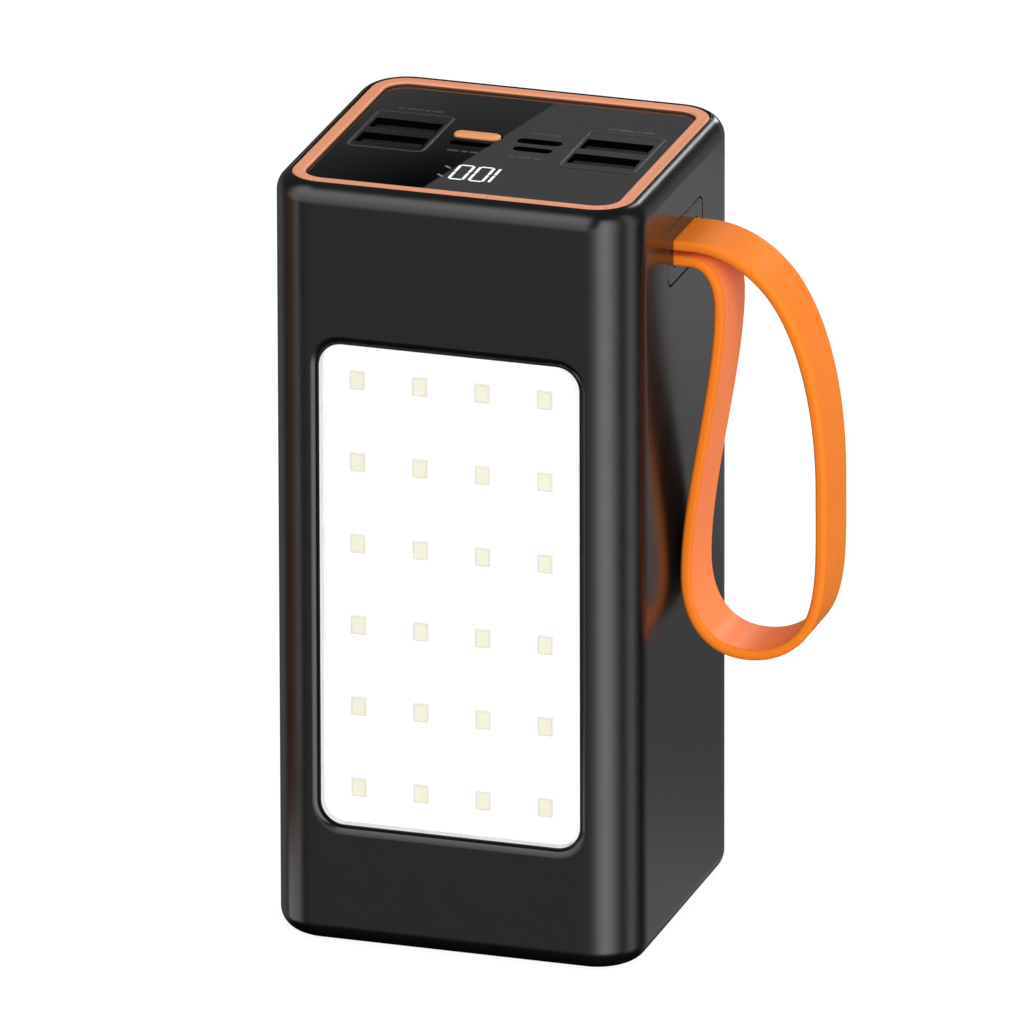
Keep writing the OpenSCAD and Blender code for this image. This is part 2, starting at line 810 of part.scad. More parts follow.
function curve_point(a, b, c, d, t) =
    a * pow(1 - t, 3) + b * 3 * t * pow(1 - t, 2) + c * 3 * t * t * (1 - t) + d * pow(t, 3);

function curve_slope(a, b, c, d, t) =
    (b - a) * 3 * pow(1 - t, 2) + (c - b) * 6 * t * (1 - t) + (d - c) * 3 * t * t;

function curve_begin(i) = i == 0 ? loop_start : loop_curves[i - 1][2];

// Points on one side of the band's centreline
function band_side(offset) = [
    for (i = [0:len(loop_curves) - 1], k = [0:(i == len(loop_curves) - 1 ? curve_steps : curve_steps - 1)])
        let (t = k / curve_steps,
             c = loop_curves[i],
             p = curve_point(curve_begin(i), c[0], c[1], c[2], t),
             v = curve_slope(curve_begin(i), c[0], c[1], c[2], t),
             n = [v[1], -v[0]] / norm(v))
        p + n * offset
];

function reversed(list) = [for (i = [len(list) - 1:-1:0]) list[i]];

module strap_loop() {
    color([0.95, 0.42, 0.08]) translate([0, strap_w / 2, 0]) rotate([90, 0, 0]) {
        linear_extrude(strap_w)
            polygon(concat(band_side(strap_t / 2), reversed(band_side(-strap_t / 2))));
        translate([knuckle_x, strap_z, 0]) cylinder(h = strap_w, r = knuckle_r);
    }
}

// ---------- nodes ----------

main_shell();
top_cover();
top_frame();
fascia_panel();
cover_screws();
power_button();
switch_plunger();
switch_body();
main_board();
board_screws();
controller_chips();
inductors();
capacitors();
for (i = [0:3]) {
    usb_a_shell(i);
    usb_a_tongue(i);
    usb_a_contacts(i);
}
usb_c_shell();
usb_c_tongue();
micro_usb_shell();
micro_usb_tongue();
inlet_shell();
inlet_tongue();
display_module();
display_segments();
display_marks();
lamp_lens();
lens_gasket();
lamp_board();
lamp_leds();
led_phosphors();
for (i = [0:4])
    battery_cell(i);
cell_tabs();
bus_bars();
protection_board();
protection_chips();
foam_pads();
battery_lead_positive();
battery_lead_negative();
lamp_leads();
strap_plate();
strap_anchor();
strap_loop();
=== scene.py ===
"""Power bank with a lamp panel, a glossy port panel and a silicone hand strap, around its CAD frame."""
import json
import math

import bmesh
import bpy
from mathutils import Matrix, Vector


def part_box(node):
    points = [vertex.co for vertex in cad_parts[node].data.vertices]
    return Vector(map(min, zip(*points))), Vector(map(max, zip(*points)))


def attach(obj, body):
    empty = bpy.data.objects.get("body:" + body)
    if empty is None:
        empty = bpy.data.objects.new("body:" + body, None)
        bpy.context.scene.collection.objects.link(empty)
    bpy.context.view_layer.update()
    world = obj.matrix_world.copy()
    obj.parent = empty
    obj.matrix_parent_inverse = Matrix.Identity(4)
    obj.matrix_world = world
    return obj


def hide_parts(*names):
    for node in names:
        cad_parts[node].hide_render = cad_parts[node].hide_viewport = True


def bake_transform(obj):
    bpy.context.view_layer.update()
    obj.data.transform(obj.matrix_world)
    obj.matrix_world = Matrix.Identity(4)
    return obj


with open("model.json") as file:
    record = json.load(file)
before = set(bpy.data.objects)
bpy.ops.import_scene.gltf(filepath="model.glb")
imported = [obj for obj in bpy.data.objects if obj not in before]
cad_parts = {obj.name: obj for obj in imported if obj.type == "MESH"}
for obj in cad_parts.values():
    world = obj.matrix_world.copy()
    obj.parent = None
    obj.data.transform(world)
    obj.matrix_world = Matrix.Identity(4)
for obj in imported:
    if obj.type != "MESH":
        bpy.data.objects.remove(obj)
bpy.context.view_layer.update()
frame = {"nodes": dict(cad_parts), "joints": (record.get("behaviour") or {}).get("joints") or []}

MM = 0.001
NODES = frame["nodes"]


# ---------------------------------------------------------------- sizes, some from the frame

# Every name that ends in OUTLINE is a rounded rectangle: its two sides and its corner radius.

SHELL_LOW, SHELL_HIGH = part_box("main_shell")
BODY_W = SHELL_HIGH.x - SHELL_LOW.x
BODY_D = SHELL_HIGH.y - SHELL_LOW.y
SIDE_X = SHELL_HIGH.x
FRONT_Y = SHELL_LOW.y
WALL = 2.5 * MM
FLOOR_T = 2.6 * MM
CORNER_R = 9.5 * MM
EDGE_R = 4 * MM
CAVITY_R = CORNER_R - WALL
BODY_OUTLINE = (BODY_W, BODY_D, CORNER_R)
# The upper edge is rounded as on a body this high, and the mouth cuts it short.
TOP_PLANE = 145 * MM
RIM_Z = SHELL_HIGH.z - 0.03 * MM
RIM_BREAK_W = 0.04 * MM
RIM_BREAK_H = 0.01 * MM

POST_X = 27.2 * MM
POST_Y = 24.4 * MM
POST_R = 3.2 * MM
POST_BOTTOM = 120 * MM
POST_TOP = 141.1 * MM
PILOT_R = 1.12 * MM
PILOT_BOTTOM = 132.1 * MM

FRAME_LOW, FRAME_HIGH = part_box("top_frame")
FRAME_W = FRAME_HIGH.x - FRAME_LOW.x
FRAME_D = FRAME_HIGH.y - FRAME_LOW.y
FRAME_TOP = FRAME_HIGH.z
FRAME_BOTTOM = FRAME_LOW.z
FRAME_R = CAVITY_R - 0.2 * MM
FRAME_OUTLINE = (FRAME_W, FRAME_D, FRAME_R)
FRAME_FACE = 2.5 * MM
FRAME_ROUND = 0.4 * MM

PANEL_LOW, PANEL_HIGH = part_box("fascia_panel")
PANEL_W = PANEL_HIGH.x - PANEL_LOW.x
PANEL_D = PANEL_HIGH.y - PANEL_LOW.y
PANEL_TOP = FRAME_TOP - 0.7 * MM
PANEL_R = FRAME_R - FRAME_FACE - 0.1 * MM
PANEL_OUTLINE = (PANEL_W, PANEL_D, PANEL_R)
PANEL_ROUND = 0.15 * MM

LENS_LOW, LENS_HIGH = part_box("lamp_lens")
LAMP_Z = (LENS_LOW.z + LENS_HIGH.z) / 2
FLANGE_MARGIN = 2.7 * MM
LENS_W = LENS_HIGH.x - LENS_LOW.x - 2 * FLANGE_MARGIN
LENS_H = LENS_HIGH.z - LENS_LOW.z - 2 * FLANGE_MARGIN
LENS_R = 4.3 * MM
LENS_OUTLINE = (LENS_W, LENS_H, LENS_R)
LENS_RECESS = 0.7 * MM
LENS_EDGE = 0.45 * MM
LENS_WALL = 0.9 * MM
SKIRT_NEAR = 0.02 * MM
SKIRT_FAR = 0.1 * MM
FLANGE_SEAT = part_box("lens_gasket")[1].y - FRONT_Y
FLANGE_T = 0.6 * MM
LENS_BACK = FLANGE_SEAT + FLANGE_T
REBATE_GAP = 0.2 * MM
WINDOW_GAP = 0.7 * MM
WINDOW_ROUND = 2.3 * MM
# The rounding breaks off sharply at the straight hole, then all but levels out at the front wall.
WINDOW_ARC = (126, 98)
# Past it the cutter widens by FLARE_W until it stands FLARE_LIFT out of the wall.
FLARE_W = 2.25 * MM
FLARE_LIFT = 0.3 * MM

PLATE_LOW, PLATE_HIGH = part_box("strap_plate")
PLATE_W = PLATE_HIGH.y - PLATE_LOW.y
PLATE_H = PLATE_HIGH.z - PLATE_LOW.z
STRAP_Z = (PLATE_LOW.z + PLATE_HIGH.z) / 2
PLATE_R = 1.9 * MM
PLATE_OUTLINE = (PLATE_W, PLATE_H, PLATE_R)
PLATE_ROUND = 0.12 * MM
PLATE_GAP = 0.3 * MM
SEAT_GAP = 0.02 * MM
STRAP_W = 13.8 * MM
STRAP_T = 2 * MM
SLOT_OUTLINE = (14.4 * MM, 5.3 * MM, 0.6 * MM)

CORNER_STEPS = 24
ROUND_STEPS = 8
SMOOTH_ANGLE = math.radians(32)
STRAP_SMOOTH_ANGLE = math.radians(60)
# A cutter reaches this far past the faces that it cuts through.
CLEAR = 1 * MM
# Shapes that become one piece reach this far into each other.
OVERLAP = 0.5 * MM


# ---------------------------------------------------------------- mesh building

def outline(w, d, r, steps=CORNER_STEPS):
    """Rounded rectangle as (x, y) points, counter-clockwise."""
    points = []
    corners = ((1, 1, 0), (-1, 1, 90), (-1, -1, 180), (1, -1, 270))
    for sx, sy, start in corners:
        for k in range(steps + 1):
            a = math.radians(start + 90 * k / steps)
            x = sx * (w / 2 - r) + r * math.cos(a)
            y = sy * (d / 2 - r) + r * math.sin(a)
            points.append((x, y))
    return points


def loop(w, d, r, z, grow=0.0, steps=CORNER_STEPS):
    """The rounded rectangle at height z, grown outwards on every side."""
    return [(x, y, z) for x, y in outline(w + 2 * grow, d + 2 * grow, r + grow, steps)]


def arc(start, end, radius, steps=ROUND_STEPS):
    """(across, along) offsets of a round edge between two angles in degrees."""
    angles = [math.radians(start + (end - start) * k / steps) for k in range(steps + 1)]
    return [(radius * math.cos(a), radius * math.sin(a)) for a in angles]


def circle(x, y, radius, sides):
    return [(x + dx, y + dy) for dx, dy in arc(0, 360 - 360 / sides, radius, sides - 1)]


def full_round(size):
    """Corner radius that rounds a slot's ends fully, but for a hair so that the corners don't meet."""
    return size[1] / 2 - 0.001 * MM


def add_object(name, mesh):
    obj = bpy.data.objects.new(name, mesh)
    bpy.context.scene.collection.objects.link(obj)
    return obj


def loft(name, loops, matrix=None, ring=False):
    """Skin over loops of equally many points, with a face at each end or joined up as a ring."""
    bm = bmesh.new()
    rows = [[bm.verts.new(p) for p in points] for points in loops]
    pairs = list(zip(rows, rows[1:]))
    if ring:
        pairs.append((rows[-1], rows[0]))
    for low, high in pairs:
        for k in range(len(low)):
            n = (k + 1) % len(low)
            bm.faces.new((low[k], low[n], high[n], high[k]))
    if not ring:
        bm.faces.new(rows[0])
        bm.faces.new(rows[-1])
    bmesh.ops.recalc_face_normals(bm, faces=bm.faces)
    if matrix is not None:
        bm.transform(matrix)
    mesh = bpy.data.meshes.new(name)
    bm.to_mesh(mesh)
    bm.free()
    return add_object(name, mesh)


def prism(name, points, z0, z1):
    """Straight solid over a flat outline."""
    return loft(name, [[(x, y, z0) for x, y in points], [(x, y, z1) for x, y in points]])


def boolean(obj, tools, operation):
    """Cuts the tools out of obj, or joins them to it, and removes them."""
    for tool in tools:
        modifier = obj.modifiers.new("boolean", "BOOLEAN")
        modifier.operation = operation
        modifier.solver = "EXACT"
        modifier.object = tool
    bpy.context.view_layer.update()
    graph = bpy.context.evaluated_depsgraph_get()
    mesh = bpy.data.meshes.new_from_object(obj.evaluated_get(graph))
    obj.modifiers.clear()
    obj.data = mesh
    for tool in tools:
        bpy.data.objects.remove(tool)
    return obj


def join(name, parts):
    """One object that holds the meshes of all parts."""
    bm = bmesh.new()
    for part in parts:
        bm.from_mesh(part.data)
        bpy.data.objects.remove(part)
    mesh = bpy.data.meshes.new(name)
    bm.to_mesh(mesh)
    bm.free()
    return add_object(name, mesh)


def smooth(obj, angle=SMOOTH_ANGLE):
    """Smooth shading that keeps sharp edges and flat faces true."""
    obj.data.shade_smooth()
    obj.data.set_sharp_from_angle(angle=angle)
    modifier = obj.modifiers.new("weighted_normals", "WEIGHTED_NORMAL")
    modifier.keep_sharp = True
    modifier.weight = 100
    return obj


# For shapes drawn at the origin: z points out of the front or the right wall, and y points up.
FRONT = Matrix.Translation((0, FRONT_Y, LAMP_Z)) @ Matrix.Rotation(math.radians(90), 4, "X")
SIDE = (Matrix.Translation((SIDE_X, 0, STRAP_Z)) @ Matrix.Rotation(math.radians(90), 4, "Z")
        @ Matrix.Rotation(math.radians(90), 4, "X"))


# ---------------------------------------------------------------- materials

def texture_space(tree, stretch=(1, 1, 1)):
    """Object coordinates, in metres, stretched along the axes."""
    coordinates = tree.nodes.new("ShaderNodeTexCoord")
    mapping = tree.nodes.new("ShaderNodeMapping")
    mapping.inputs["Scale"].default_value = stretch
    tree.links.new(coordinates.outputs["Object"], mapping.inputs["Vector"])
    return mapping.outputs["Vector"]


def noise(tree, space, size):
    """Noise whose features are about size metres across."""
    node = tree.nodes.new("ShaderNodeTexNoise")
    node.inputs["Scale"].default_value = 1 / size
    node.inputs["Detail"].default_value = 3.0
    node.inputs["Roughness"].default_value = 0.5
    tree.links.new(space, node.inputs["Vector"])
    return node.outputs["Fac"]


def remap(tree, value, low, high):
    """Value from the range in which noise mostly lies, taken to low and high."""
    node = tree.nodes.new("ShaderNodeMapRange")
    node.inputs["From Min"].default_value = 0.3
    node.inputs["From Max"].default_value = 0.7
    node.inputs["To Min"].default_value = low
    node.inputs["To Max"].default_value = high
    tree.links.new(value, node.inputs["Value"])
    return node.outputs["Result"]


def mix_colours(tree, value, first, second):
    """The first colour where value is 0, the second where it is 1."""
    node = tree.nodes.new("ShaderNodeMix")
    node.data_type = "RGBA"
    tree.links.new(value, node.inputs["Factor"])
    node.inputs["A"].default_value = (*first, 1)
    node.inputs["B"].default_value = (*second, 1)
    return node.outputs["Result"]


def bump(tree, height, distance):
    """Normals of a height that runs from 0 to distance."""
    node = tree.nodes.new("ShaderNodeBump")
    node.inputs["Distance"].default_value = distance
    node.inputs["Strength"].default_value = 1.0
    tree.links.new(height, node.inputs["Height"])
    return node.outputs["Normal"]


def tinted(colour, factor):
    return tuple(min(1.0, c * factor) for c in colour)


def surface(name, colour, rough, vary=0.12, rough_vary=0.06, grain=0.4 * MM, grain_depth=0.004 * MM,
            patch=9 * MM, metallic=0.0, stretch=(1, 1, 1), **constants):
    """Principled material: patchy colour and roughness, and a fine grain in the normals."""
    material = bpy.data.materials.new(name)
    material.use_nodes = True
    tree = material.node_tree
    shader = tree.nodes["Principled BSDF"]
    shader.inputs["Metallic"].default_value = metallic
    for socket, value in constants.items():
        shader.inputs[socket.replace("_", " ")].default_value = value
    space = texture_space(tree, stretch)
    patches = noise(tree, space, patch)
    base = mix_colours(tree, patches, tinted(colour, 1 - vary), tinted(colour, 1 + vary))
    tree.links.new(base, shader.inputs["Base Color"])
    roughness = remap(tree, noise(tree, space, patch / 3), rough - rough_vary, rough + rough_vary)
    tree.links.new(roughness, shader.inputs["Roughness"])
    tree.links.new(bump(tree, noise(tree, space, grain), grain_depth), shader.inputs["Normal"])
    return material


def paint(material, *names):
    """Gives CAD nodes a material."""
    for name in names:
        mesh = NODES[name].data
        mesh.materials.clear()
        mesh.materials.append(material)


SATIN = {"vary": 0.03, "rough_vary": 0.04, "grain": 0.25 * MM, "grain_depth": 0.0002 * MM}
SILICONE = {"vary": 0.035, "rough_vary": 0.05, "grain": 0.12 * MM, "grain_depth": 0.0025 * MM,
            "patch": 6 * MM}

SHELL_MATERIAL = surface("shell_plastic", (0.004, 0.004, 0.0042), 0.2, vary=0.1, rough_vary=0.025,
                         grain=0.5 * MM, grain_depth=0.0005 * MM, patch=14 * MM)
PANEL_MATERIAL = surface("panel_gloss", (0.0015, 0.0015, 0.0016), 0.018, vary=0.1, rough_vary=0.006,
                         grain=0.3 * MM, grain_depth=0.00005 * MM)
OUTLINE_MATERIAL = surface("panel_outline", (0.027, 0.027, 0.0275), 0.36, Specular_IOR_Level=0.5)
PRINT_MATERIAL = surface("panel_print", (0.045, 0.045, 0.046), 0.36, Specular_IOR_Level=0.6)
BUTTON_MATERIAL = surface("button_plastic", (0.78, 0.3, 0.115), 0.3, **SATIN)
ORANGE_MATERIAL = surface("orange_plastic", (0.76, 0.3, 0.16), 0.3, **SATIN)
# The dark brown of the ring's inner wall is painted shade, where the ring steps down to the panel.
FRAME_WALL_PAINTED_SHADE_MATERIAL = surface("frame_inner_wall_painted_shade", (0.1, 0.042, 0.018), 0.5, grain_depth=0.001 * MM)
COVER_MATERIAL = surface("cover_plastic", (0.03, 0.03, 0.032), 0.5, grain_depth=0.01 * MM)
GASKET_MATERIAL = surface("gasket_rubber", (0.008, 0.008, 0.009), 0.55, grain_depth=0.01 * MM)
LENS_MATERIAL = surface("lens_plastic", (0.97, 0.98, 1.0), 0.06, vary=0.01, rough_vary=0.02,
                        grain_depth=0.0004 * MM, Alpha=0.16)
SKIRT_MATERIAL = surface("lens_edge_white", (0.62, 0.63, 0.65), 0.4, vary=0.08, patch=2.5 * MM)
MASK_MATERIAL = surface("lens_mask", (0.004, 0.004, 0.004), 0.5, grain_depth=0.002 * MM)
# The inner faces get a brighter copy of the strap's silicone with more sheen: painted light, as if the
# inside of the loop were lit more than the outside.
STRAP_INNER_PAINTED_LIGHT_MATERIAL = surface("strap_inner_painted_light", (0.98, 0.265, 0.066), 0.42, **SILICONE,
                         Specular_IOR_Level=0.36)
STRAP_MATERIAL = surface("strap_silicone", (0.81, 0.198, 0.018), 0.42, **SILICONE,
                         Specular_IOR_Level=0.07)
SOCKET_METAL = surface("socket_metal", (0.012, 0.012, 0.013), 0.5, metallic=1.0, stretch=(1, 1, 8))
SOCKET_PLASTIC = surface("socket_plastic", (0.005, 0.005, 0.005), 0.55, Specular_IOR_Level=0.15)
GOLD = surface("contact_gold", (0.8, 0.56, 0.2), 0.25, metallic=1.0)
STEEL = surface("screw_steel", (0.5, 0.5, 0.52), 0.32, metallic=1.0)
CAN = surface("can_aluminium", (0.7, 0.71, 0.73), 0.3, metallic=1.0)
NICKEL = surface("nickel_strip", (0.66, 0.65, 0.62), 0.3, metallic=1.0, stretch=(6, 1, 1))
FOIL = surface("pouch_foil", (0.72, 0.73, 0.75), 0.32, metallic=1.0, grain=3 * MM, grain_depth=0.12 * MM)
CHIP = surface("chip_resin", (0.02, 0.02, 0.022), 0.55, grain=0.15 * MM)
FERRITE = surface("ferrite", (0.09, 0.09, 0.095), 0.7, grain=0.2 * MM, grain_depth=0.02 * MM)
BOARD = surface("board_laminate", (0.02, 0.14, 0.06), 0.35, vary=0.25, patch=3 * MM)
FOAM = surface("foam", (0.08, 0.08, 0.085), 0.95, grain=0.8 * MM, grain_depth=0.3 * MM)
WIRE_RED = surface("wire_red", (0.55, 0.02, 0.015), 0.4)
WIRE_BLACK = surface("wire_black", (0.015, 0.015, 0.015), 0.4)
WIRE_WHITE = surface("wire_white", (0.75, 0.75, 0.75), 0.4)
# The lamp is off: the lamp board's faint glow is painted light, standing in for the light that reaches it
# through the lens.
LAMP_BOARD_PAINTED_LIGHT_MATERIAL = surface("lamp_laminate", (0.95, 0.95, 0.95), 0.4, vary=0.02, patch=12 * MM,
                              Emission_Color=(1, 1, 1, 1), Emission_Strength=0.25)
# The LEDs are unlit: the faint glow of their cases and phosphors is painted light that brightens them.
LED_CASE_PAINTED_LIGHT_MATERIAL = surface("led_case", (0.6, 0.6, 0.5), 0.35, vary=0.05,
                            Emission_Color=(0.85, 0.87, 0.8, 1), Emission_Strength=0.08)
PHOSPHOR_PAINTED_LIGHT_MATERIAL = surface("led_phosphor", (0.7, 0.66, 0.46), 0.5, vary=0.06,
                            Emission_Color=(0.9, 0.88, 0.68, 1), Emission_Strength=0.16)
DIGIT_MATERIAL = surface("display_light", (0.9, 0.92, 0.95), 0.4, vary=0.03,
                         Emission_Color=(0.95, 0.98, 1.0, 1), Emission_Strength=0.2)
DIM_MATERIAL = surface("display_dim", (0.04, 0.1, 0.11), 0.4, vary=0.1,
                       Emission_Color=(0.45, 0.68, 0.72, 1), Emission_Strength=0.16)


# ---------------------------------------------------------------- housing

def post(mx, my):
    """Corner post that reaches into the walls, drawn for the right back corner and mirrored."""
    middle = Vector((BODY_W / 2 - CORNER_R, BODY_D / 2 - CORNER_R))
    reach = CORNER_R - WALL / 2
    points = [(POST_X + dx, POST_Y + dy) for dx, dy in arc(180, 270, POST_R, 12)]
    points.append((middle.x + reach, POST_Y - POST_R))
    points += [(middle.x + dx, middle.y + dy) for dx, dy in arc(0, 90, reach, 16)]
    points.append((POST_X - POST_R, middle.y + reach))
    return prism("post", [(mx * x, my * y) for x, y in points], POST_BOTTOM, POST_TOP)


def pilot_hole(mx, my):
    return prism("pilot", circle(mx * POST_X, my * POST_Y, PILOT_R, 24), PILOT_BOTTOM, POST_TOP + CLEAR)


def shell_body():
    """Rounded bucket: outer skin, rim at the mouth, inner walls and floor."""
    loops = []
    for across, along in arc(-90, 0, EDGE_R, 12):
        loops.append(loop(*BODY_OUTLINE, EDGE_R + along, across - EDGE_R))
    for across, along in arc(0, 89, EDGE_R, 24):
        if EDGE_R - across < WALL:
            loops.append(loop(*BODY_OUTLINE, TOP_PLANE - EDGE_R + along, across - EDGE_R))
    loops.append(loop(*BODY_OUTLINE, RIM_Z, RIM_BREAK_W - WALL))
    loops.append(loop(*BODY_OUTLINE, RIM_Z - RIM_BREAK_H, -WALL))
    loops.append(loop(*BODY_OUTLINE, FLOOR_T, -WALL))
    return loft("housing_shell", loops)


def window_cutter():
    """Lamp window: rebate behind, straight hole, and a softly rounded edge that breaks into it."""
    rebate = FLANGE_MARGIN + REBATE_GAP
    edge = arc(*WINDOW_ARC, WINDOW_ROUND, 10)
    start = edge[0][0] - WINDOW_GAP
    loops = [loop(*LENS_OUTLINE, -WALL - CLEAR, rebate),
             loop(*LENS_OUTLINE, -FLANGE_SEAT, rebate),
             loop(*LENS_OUTLINE, -FLANGE_SEAT, WINDOW_GAP)]
    for across, along in edge:
        loops.append(loop(*LENS_OUTLINE, along - WINDOW_ROUND, across - start))
    loops.append(loop(*LENS_OUTLINE, FLARE_LIFT, edge[-1][0] - start + FLARE_W))
    return loft("window", loops, FRONT)


def slot_cutter(depth):
    """Slot for the strap, through a wall or plate of this depth."""
    return loft("slot", [loop(*SLOT_OUTLINE, z, steps=6) for z in (-depth - CLEAR, CLEAR)], SIDE)


def recess_cutter():
    """Seat of the strap's root plate, a little wider and deeper than the plate."""
    depth = SIDE_X - PLATE_LOW.x + SEAT_GAP
    return loft("recess", [loop(*PLATE_OUTLINE, z, PLATE_GAP) for z in (-depth, 3 * CLEAR)], SIDE)


def housing():
    """Shell with corner posts and their pilot holes, the lamp window and the strap's seat and slot."""
    body = shell_body()
    corners = [(mx, my) for mx in (-1, 1) for my in (-1, 1)]
    boolean(body, [post(*corner) for corner in corners], "UNION")
    cutters = [pilot_hole(*corner) for corner in corners]
    cutters += [window_cutter(), recess_cutter(), slot_cutter(WALL)]
    boolean(body, cutters, "DIFFERENCE")
    body.data.materials.append(SHELL_MATERIAL)
    smooth(body)
    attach(body, "housing")
    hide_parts("main_shell")


def orange_frame():
    """Orange ring round the port panel, with both upper edges rounded and a dark inner wall of painted
    shade.
    """
    profile = [(0, FRAME_BOTTOM), (0, FRAME_TOP - FRAME_ROUND)]
    profile += [(FRAME_ROUND - a, FRAME_TOP - FRAME_ROUND + b) for a, b in arc(0, 90, FRAME_ROUND)][1:]
    inner = FRAME_FACE - FRAME_ROUND
    profile += [(inner - a, FRAME_TOP - FRAME_ROUND + b) for a, b in arc(90, 180, FRAME_ROUND)]
    profile.append((FRAME_FACE, FRAME_BOTTOM))
    loops = [loop(*FRAME_OUTLINE, z, -inset) for inset, z in profile]
    ring = loft("orange_frame", loops, ring=True)
    ring.data.materials.append(ORANGE_MATERIAL)
    ring.data.materials.append(FRAME_WALL_PAINTED_SHADE_MATERIAL)
    # This row is the inner wall, which takes the painted shade.
    wall_row = len(profile) - 2
    for face in ring.data.polygons:
        if face.index // len(loops[0]) == wall_row:
            face.material_index = 1
    smooth(ring)
    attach(ring, "housing")
    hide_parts("top_frame")


# ---------------------------------------------------------------- port panel

USB_A_PLACES = [(sx * 19.85 * MM, y * MM) for sx in (-1, 1) for y in (6, -2.05)]
USB_A_OPEN = (12.5 * MM, 5.22 * MM)
USB_A_OPEN_R = 0.35 * MM
# Middle and size of each small socket's hole, in millimetres.
SMALL_PORTS = [((5.85, 4.3), (8.34, 2.66)), ((5.85, 0), (7.3, 2.4)), ((-5.85, -0.1), (7.6, 2.5))]
HOLE_CHAMFER = 0.05 * MM

BUTTON_PLACE = (-5.85 * MM, 4.3 * MM)
BUTTON_SIZE = (9.1 * MM, 3.2 * MM)
BUTTON_GAP = 0.2 * MM
CAP_PLAY = 0.3 * MM
CAP_ROUND = 0.55 * MM
CROWN_RISE = 0.06 * MM
CROWN_INSET = 1.1 * MM
BUTTON_FLANGE_OUTLINE = (11 * MM, 4.4 * MM, 2.19 * MM)
BUTTON_FLANGE_T = 0.8 * MM
BUTTON_FLANGE_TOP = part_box("top_cover")[1].z - 2.05 * MM
STEM_R = 1.1 * MM

USB_OUTLINE = (14.9 * MM, 20.2 * MM, 1.6 * MM)
USB_OUTLINE_Y = 2.75 * MM
BEAD_W = 0.7 * MM
BEAD_RISE = 0.12 * MM
BEAD_SUNK = 0.1 * MM

# Middle x and y of each printed row, then the widths of its dashes, in millimetres.
PRINT_ROWS = [(5.85, 8.4, (1.8, 0.9, 2.4)), (5.85, -4.4, (1.2, 2.6, 1.4)),
              (-5.85, -4.4, (2.2, 1.2, 1.6)), (19.85, 14.6, (1.6, 2.8, 1.0, 2.0)),
              (-19.85, 14.6, (1.6, 2.8, 1.0, 2.0))]
# Gap between two dashes, in millimetres.
PRINT_SPACE = 0.4
PRINT_H = 0.76 * MM
PRINT_R = 0.2 * MM
PRINT_LIFT = 0.015 * MM


def hole_cutter(centre, size, r):
    """Straight hole through the panel with a small chamfer at its top."""
    levels = [(PANEL_LOW.z - CLEAR, 0),
              (PANEL_TOP - HOLE_CHAMFER, 0),
              (PANEL_TOP + CLEAR, CLEAR + HOLE_CHAMFER)]
    loops = [loop(*size, r, z, grow, steps=8) for z, grow in levels]
    return loft("hole", loops, Matrix.Translation((*centre, 0)))


def panel_cutters():
    """The sockets' holes, the button's hole and the lit shapes of the display."""
    cutters = [hole_cutter(place, USB_A_OPEN, USB_A_OPEN_R) for place in USB_A_PLACES]
    for (x, y), (w, d) in SMALL_PORTS:
        size = (w * MM, d * MM)
        cutters.append(hole_cutter((x * MM, y * MM), size, full_round(size)))
    size = [s + 2 * BUTTON_GAP for s in BUTTON_SIZE]
    cutters.append(hole_cutter(BUTTON_PLACE, size, full_round(size)))
    return cutters + [raised_copy("display_segments"), raised_copy("display_marks")]


def port_panel():
    """Glossy plate with a finely rounded edge, and what is raised or printed on it."""
    loops = [loop(*PANEL_OUTLINE, PANEL_LOW.z)]
    for across, along in arc(0, 90, PANEL_ROUND, 4):
        loops.append(loop(*PANEL_OUTLINE, PANEL_TOP - PANEL_ROUND + along, across - PANEL_ROUND))
    panel = loft("port_panel", loops)
    boolean(panel, panel_cutters(), "DIFFERENCE")
    panel.data.materials.append(PANEL_MATERIAL)
    smooth(panel)
    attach(panel, "housing")
    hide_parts("fascia_panel")
    for side, sx in (("left", -1), ("right", 1)):
        outline_bead(side, sx)
    print_marks()


def print_marks():
    """Low-contrast printed dashes beside the sockets."""
    dashes = []
    for x, y, widths in PRINT_ROWS:
        left = x - sum(widths) / 2 - PRINT_SPACE / 2 * (len(widths) - 1)
        for width in widths:
            place = Matrix.Translation(((left + width / 2) * MM, y * MM, PANEL_TOP))
            loops = [loop(width * MM, PRINT_H, PRINT_R, z, steps=3) for z in (-PRINT_LIFT, PRINT_LIFT)]
            dashes.append(loft("dash", loops, place))
            left += width + PRINT_SPACE
    marks = join("print_marks", dashes)
    marks.data.materials.append(PRINT_MATERIAL)
    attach(marks, "housing")


def raised_copy(name):
    """A CAD node's shape, stretched past the panel's top and bottom for cutting."""
    mesh = NODES[name].data.copy()
    low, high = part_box(name)
    middle = (low.z + high.z) / 2
    for vertex in mesh.vertices:
        vertex.co.z += CLEAR if vertex.co.z > middle else -CLEAR
    bm = bmesh.new()
    bm.from_mesh(mesh)
    bmesh.ops.remove_doubles(bm, verts=bm.verts, dist=0.001 * MM)
    bm.to_mesh(mesh)
    bm.free()
    return add_object("lit_shapes", mesh)


def outline_bead(side, sx):
    """Fine raised outline round one pair of USB-A sockets."""
    half = BEAD_W / 2
    profile = [(half - a, BEAD_RISE * b / half) for a, b in arc(0, 180, half, 10)]
    profile = [(inset, PANEL_TOP + rise) for inset, rise in profile]
    profile += [(BEAD_W, PANEL_TOP - BEAD_SUNK), (0, PANEL_TOP - BEAD_SUNK)]
    loops = [loop(*USB_OUTLINE, z, -inset, steps=12) for inset, z in profile]
    x = sx * USB_A_PLACES[-1][0]
    bead = loft("usb_outline_" + side, loops, Matrix.Translation((x, USB_OUTLINE_Y, 0)), ring=True)
    bead.data.materials.append(OUTLINE_MATERIAL)
    smooth(bead)
    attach(bead, "housing")


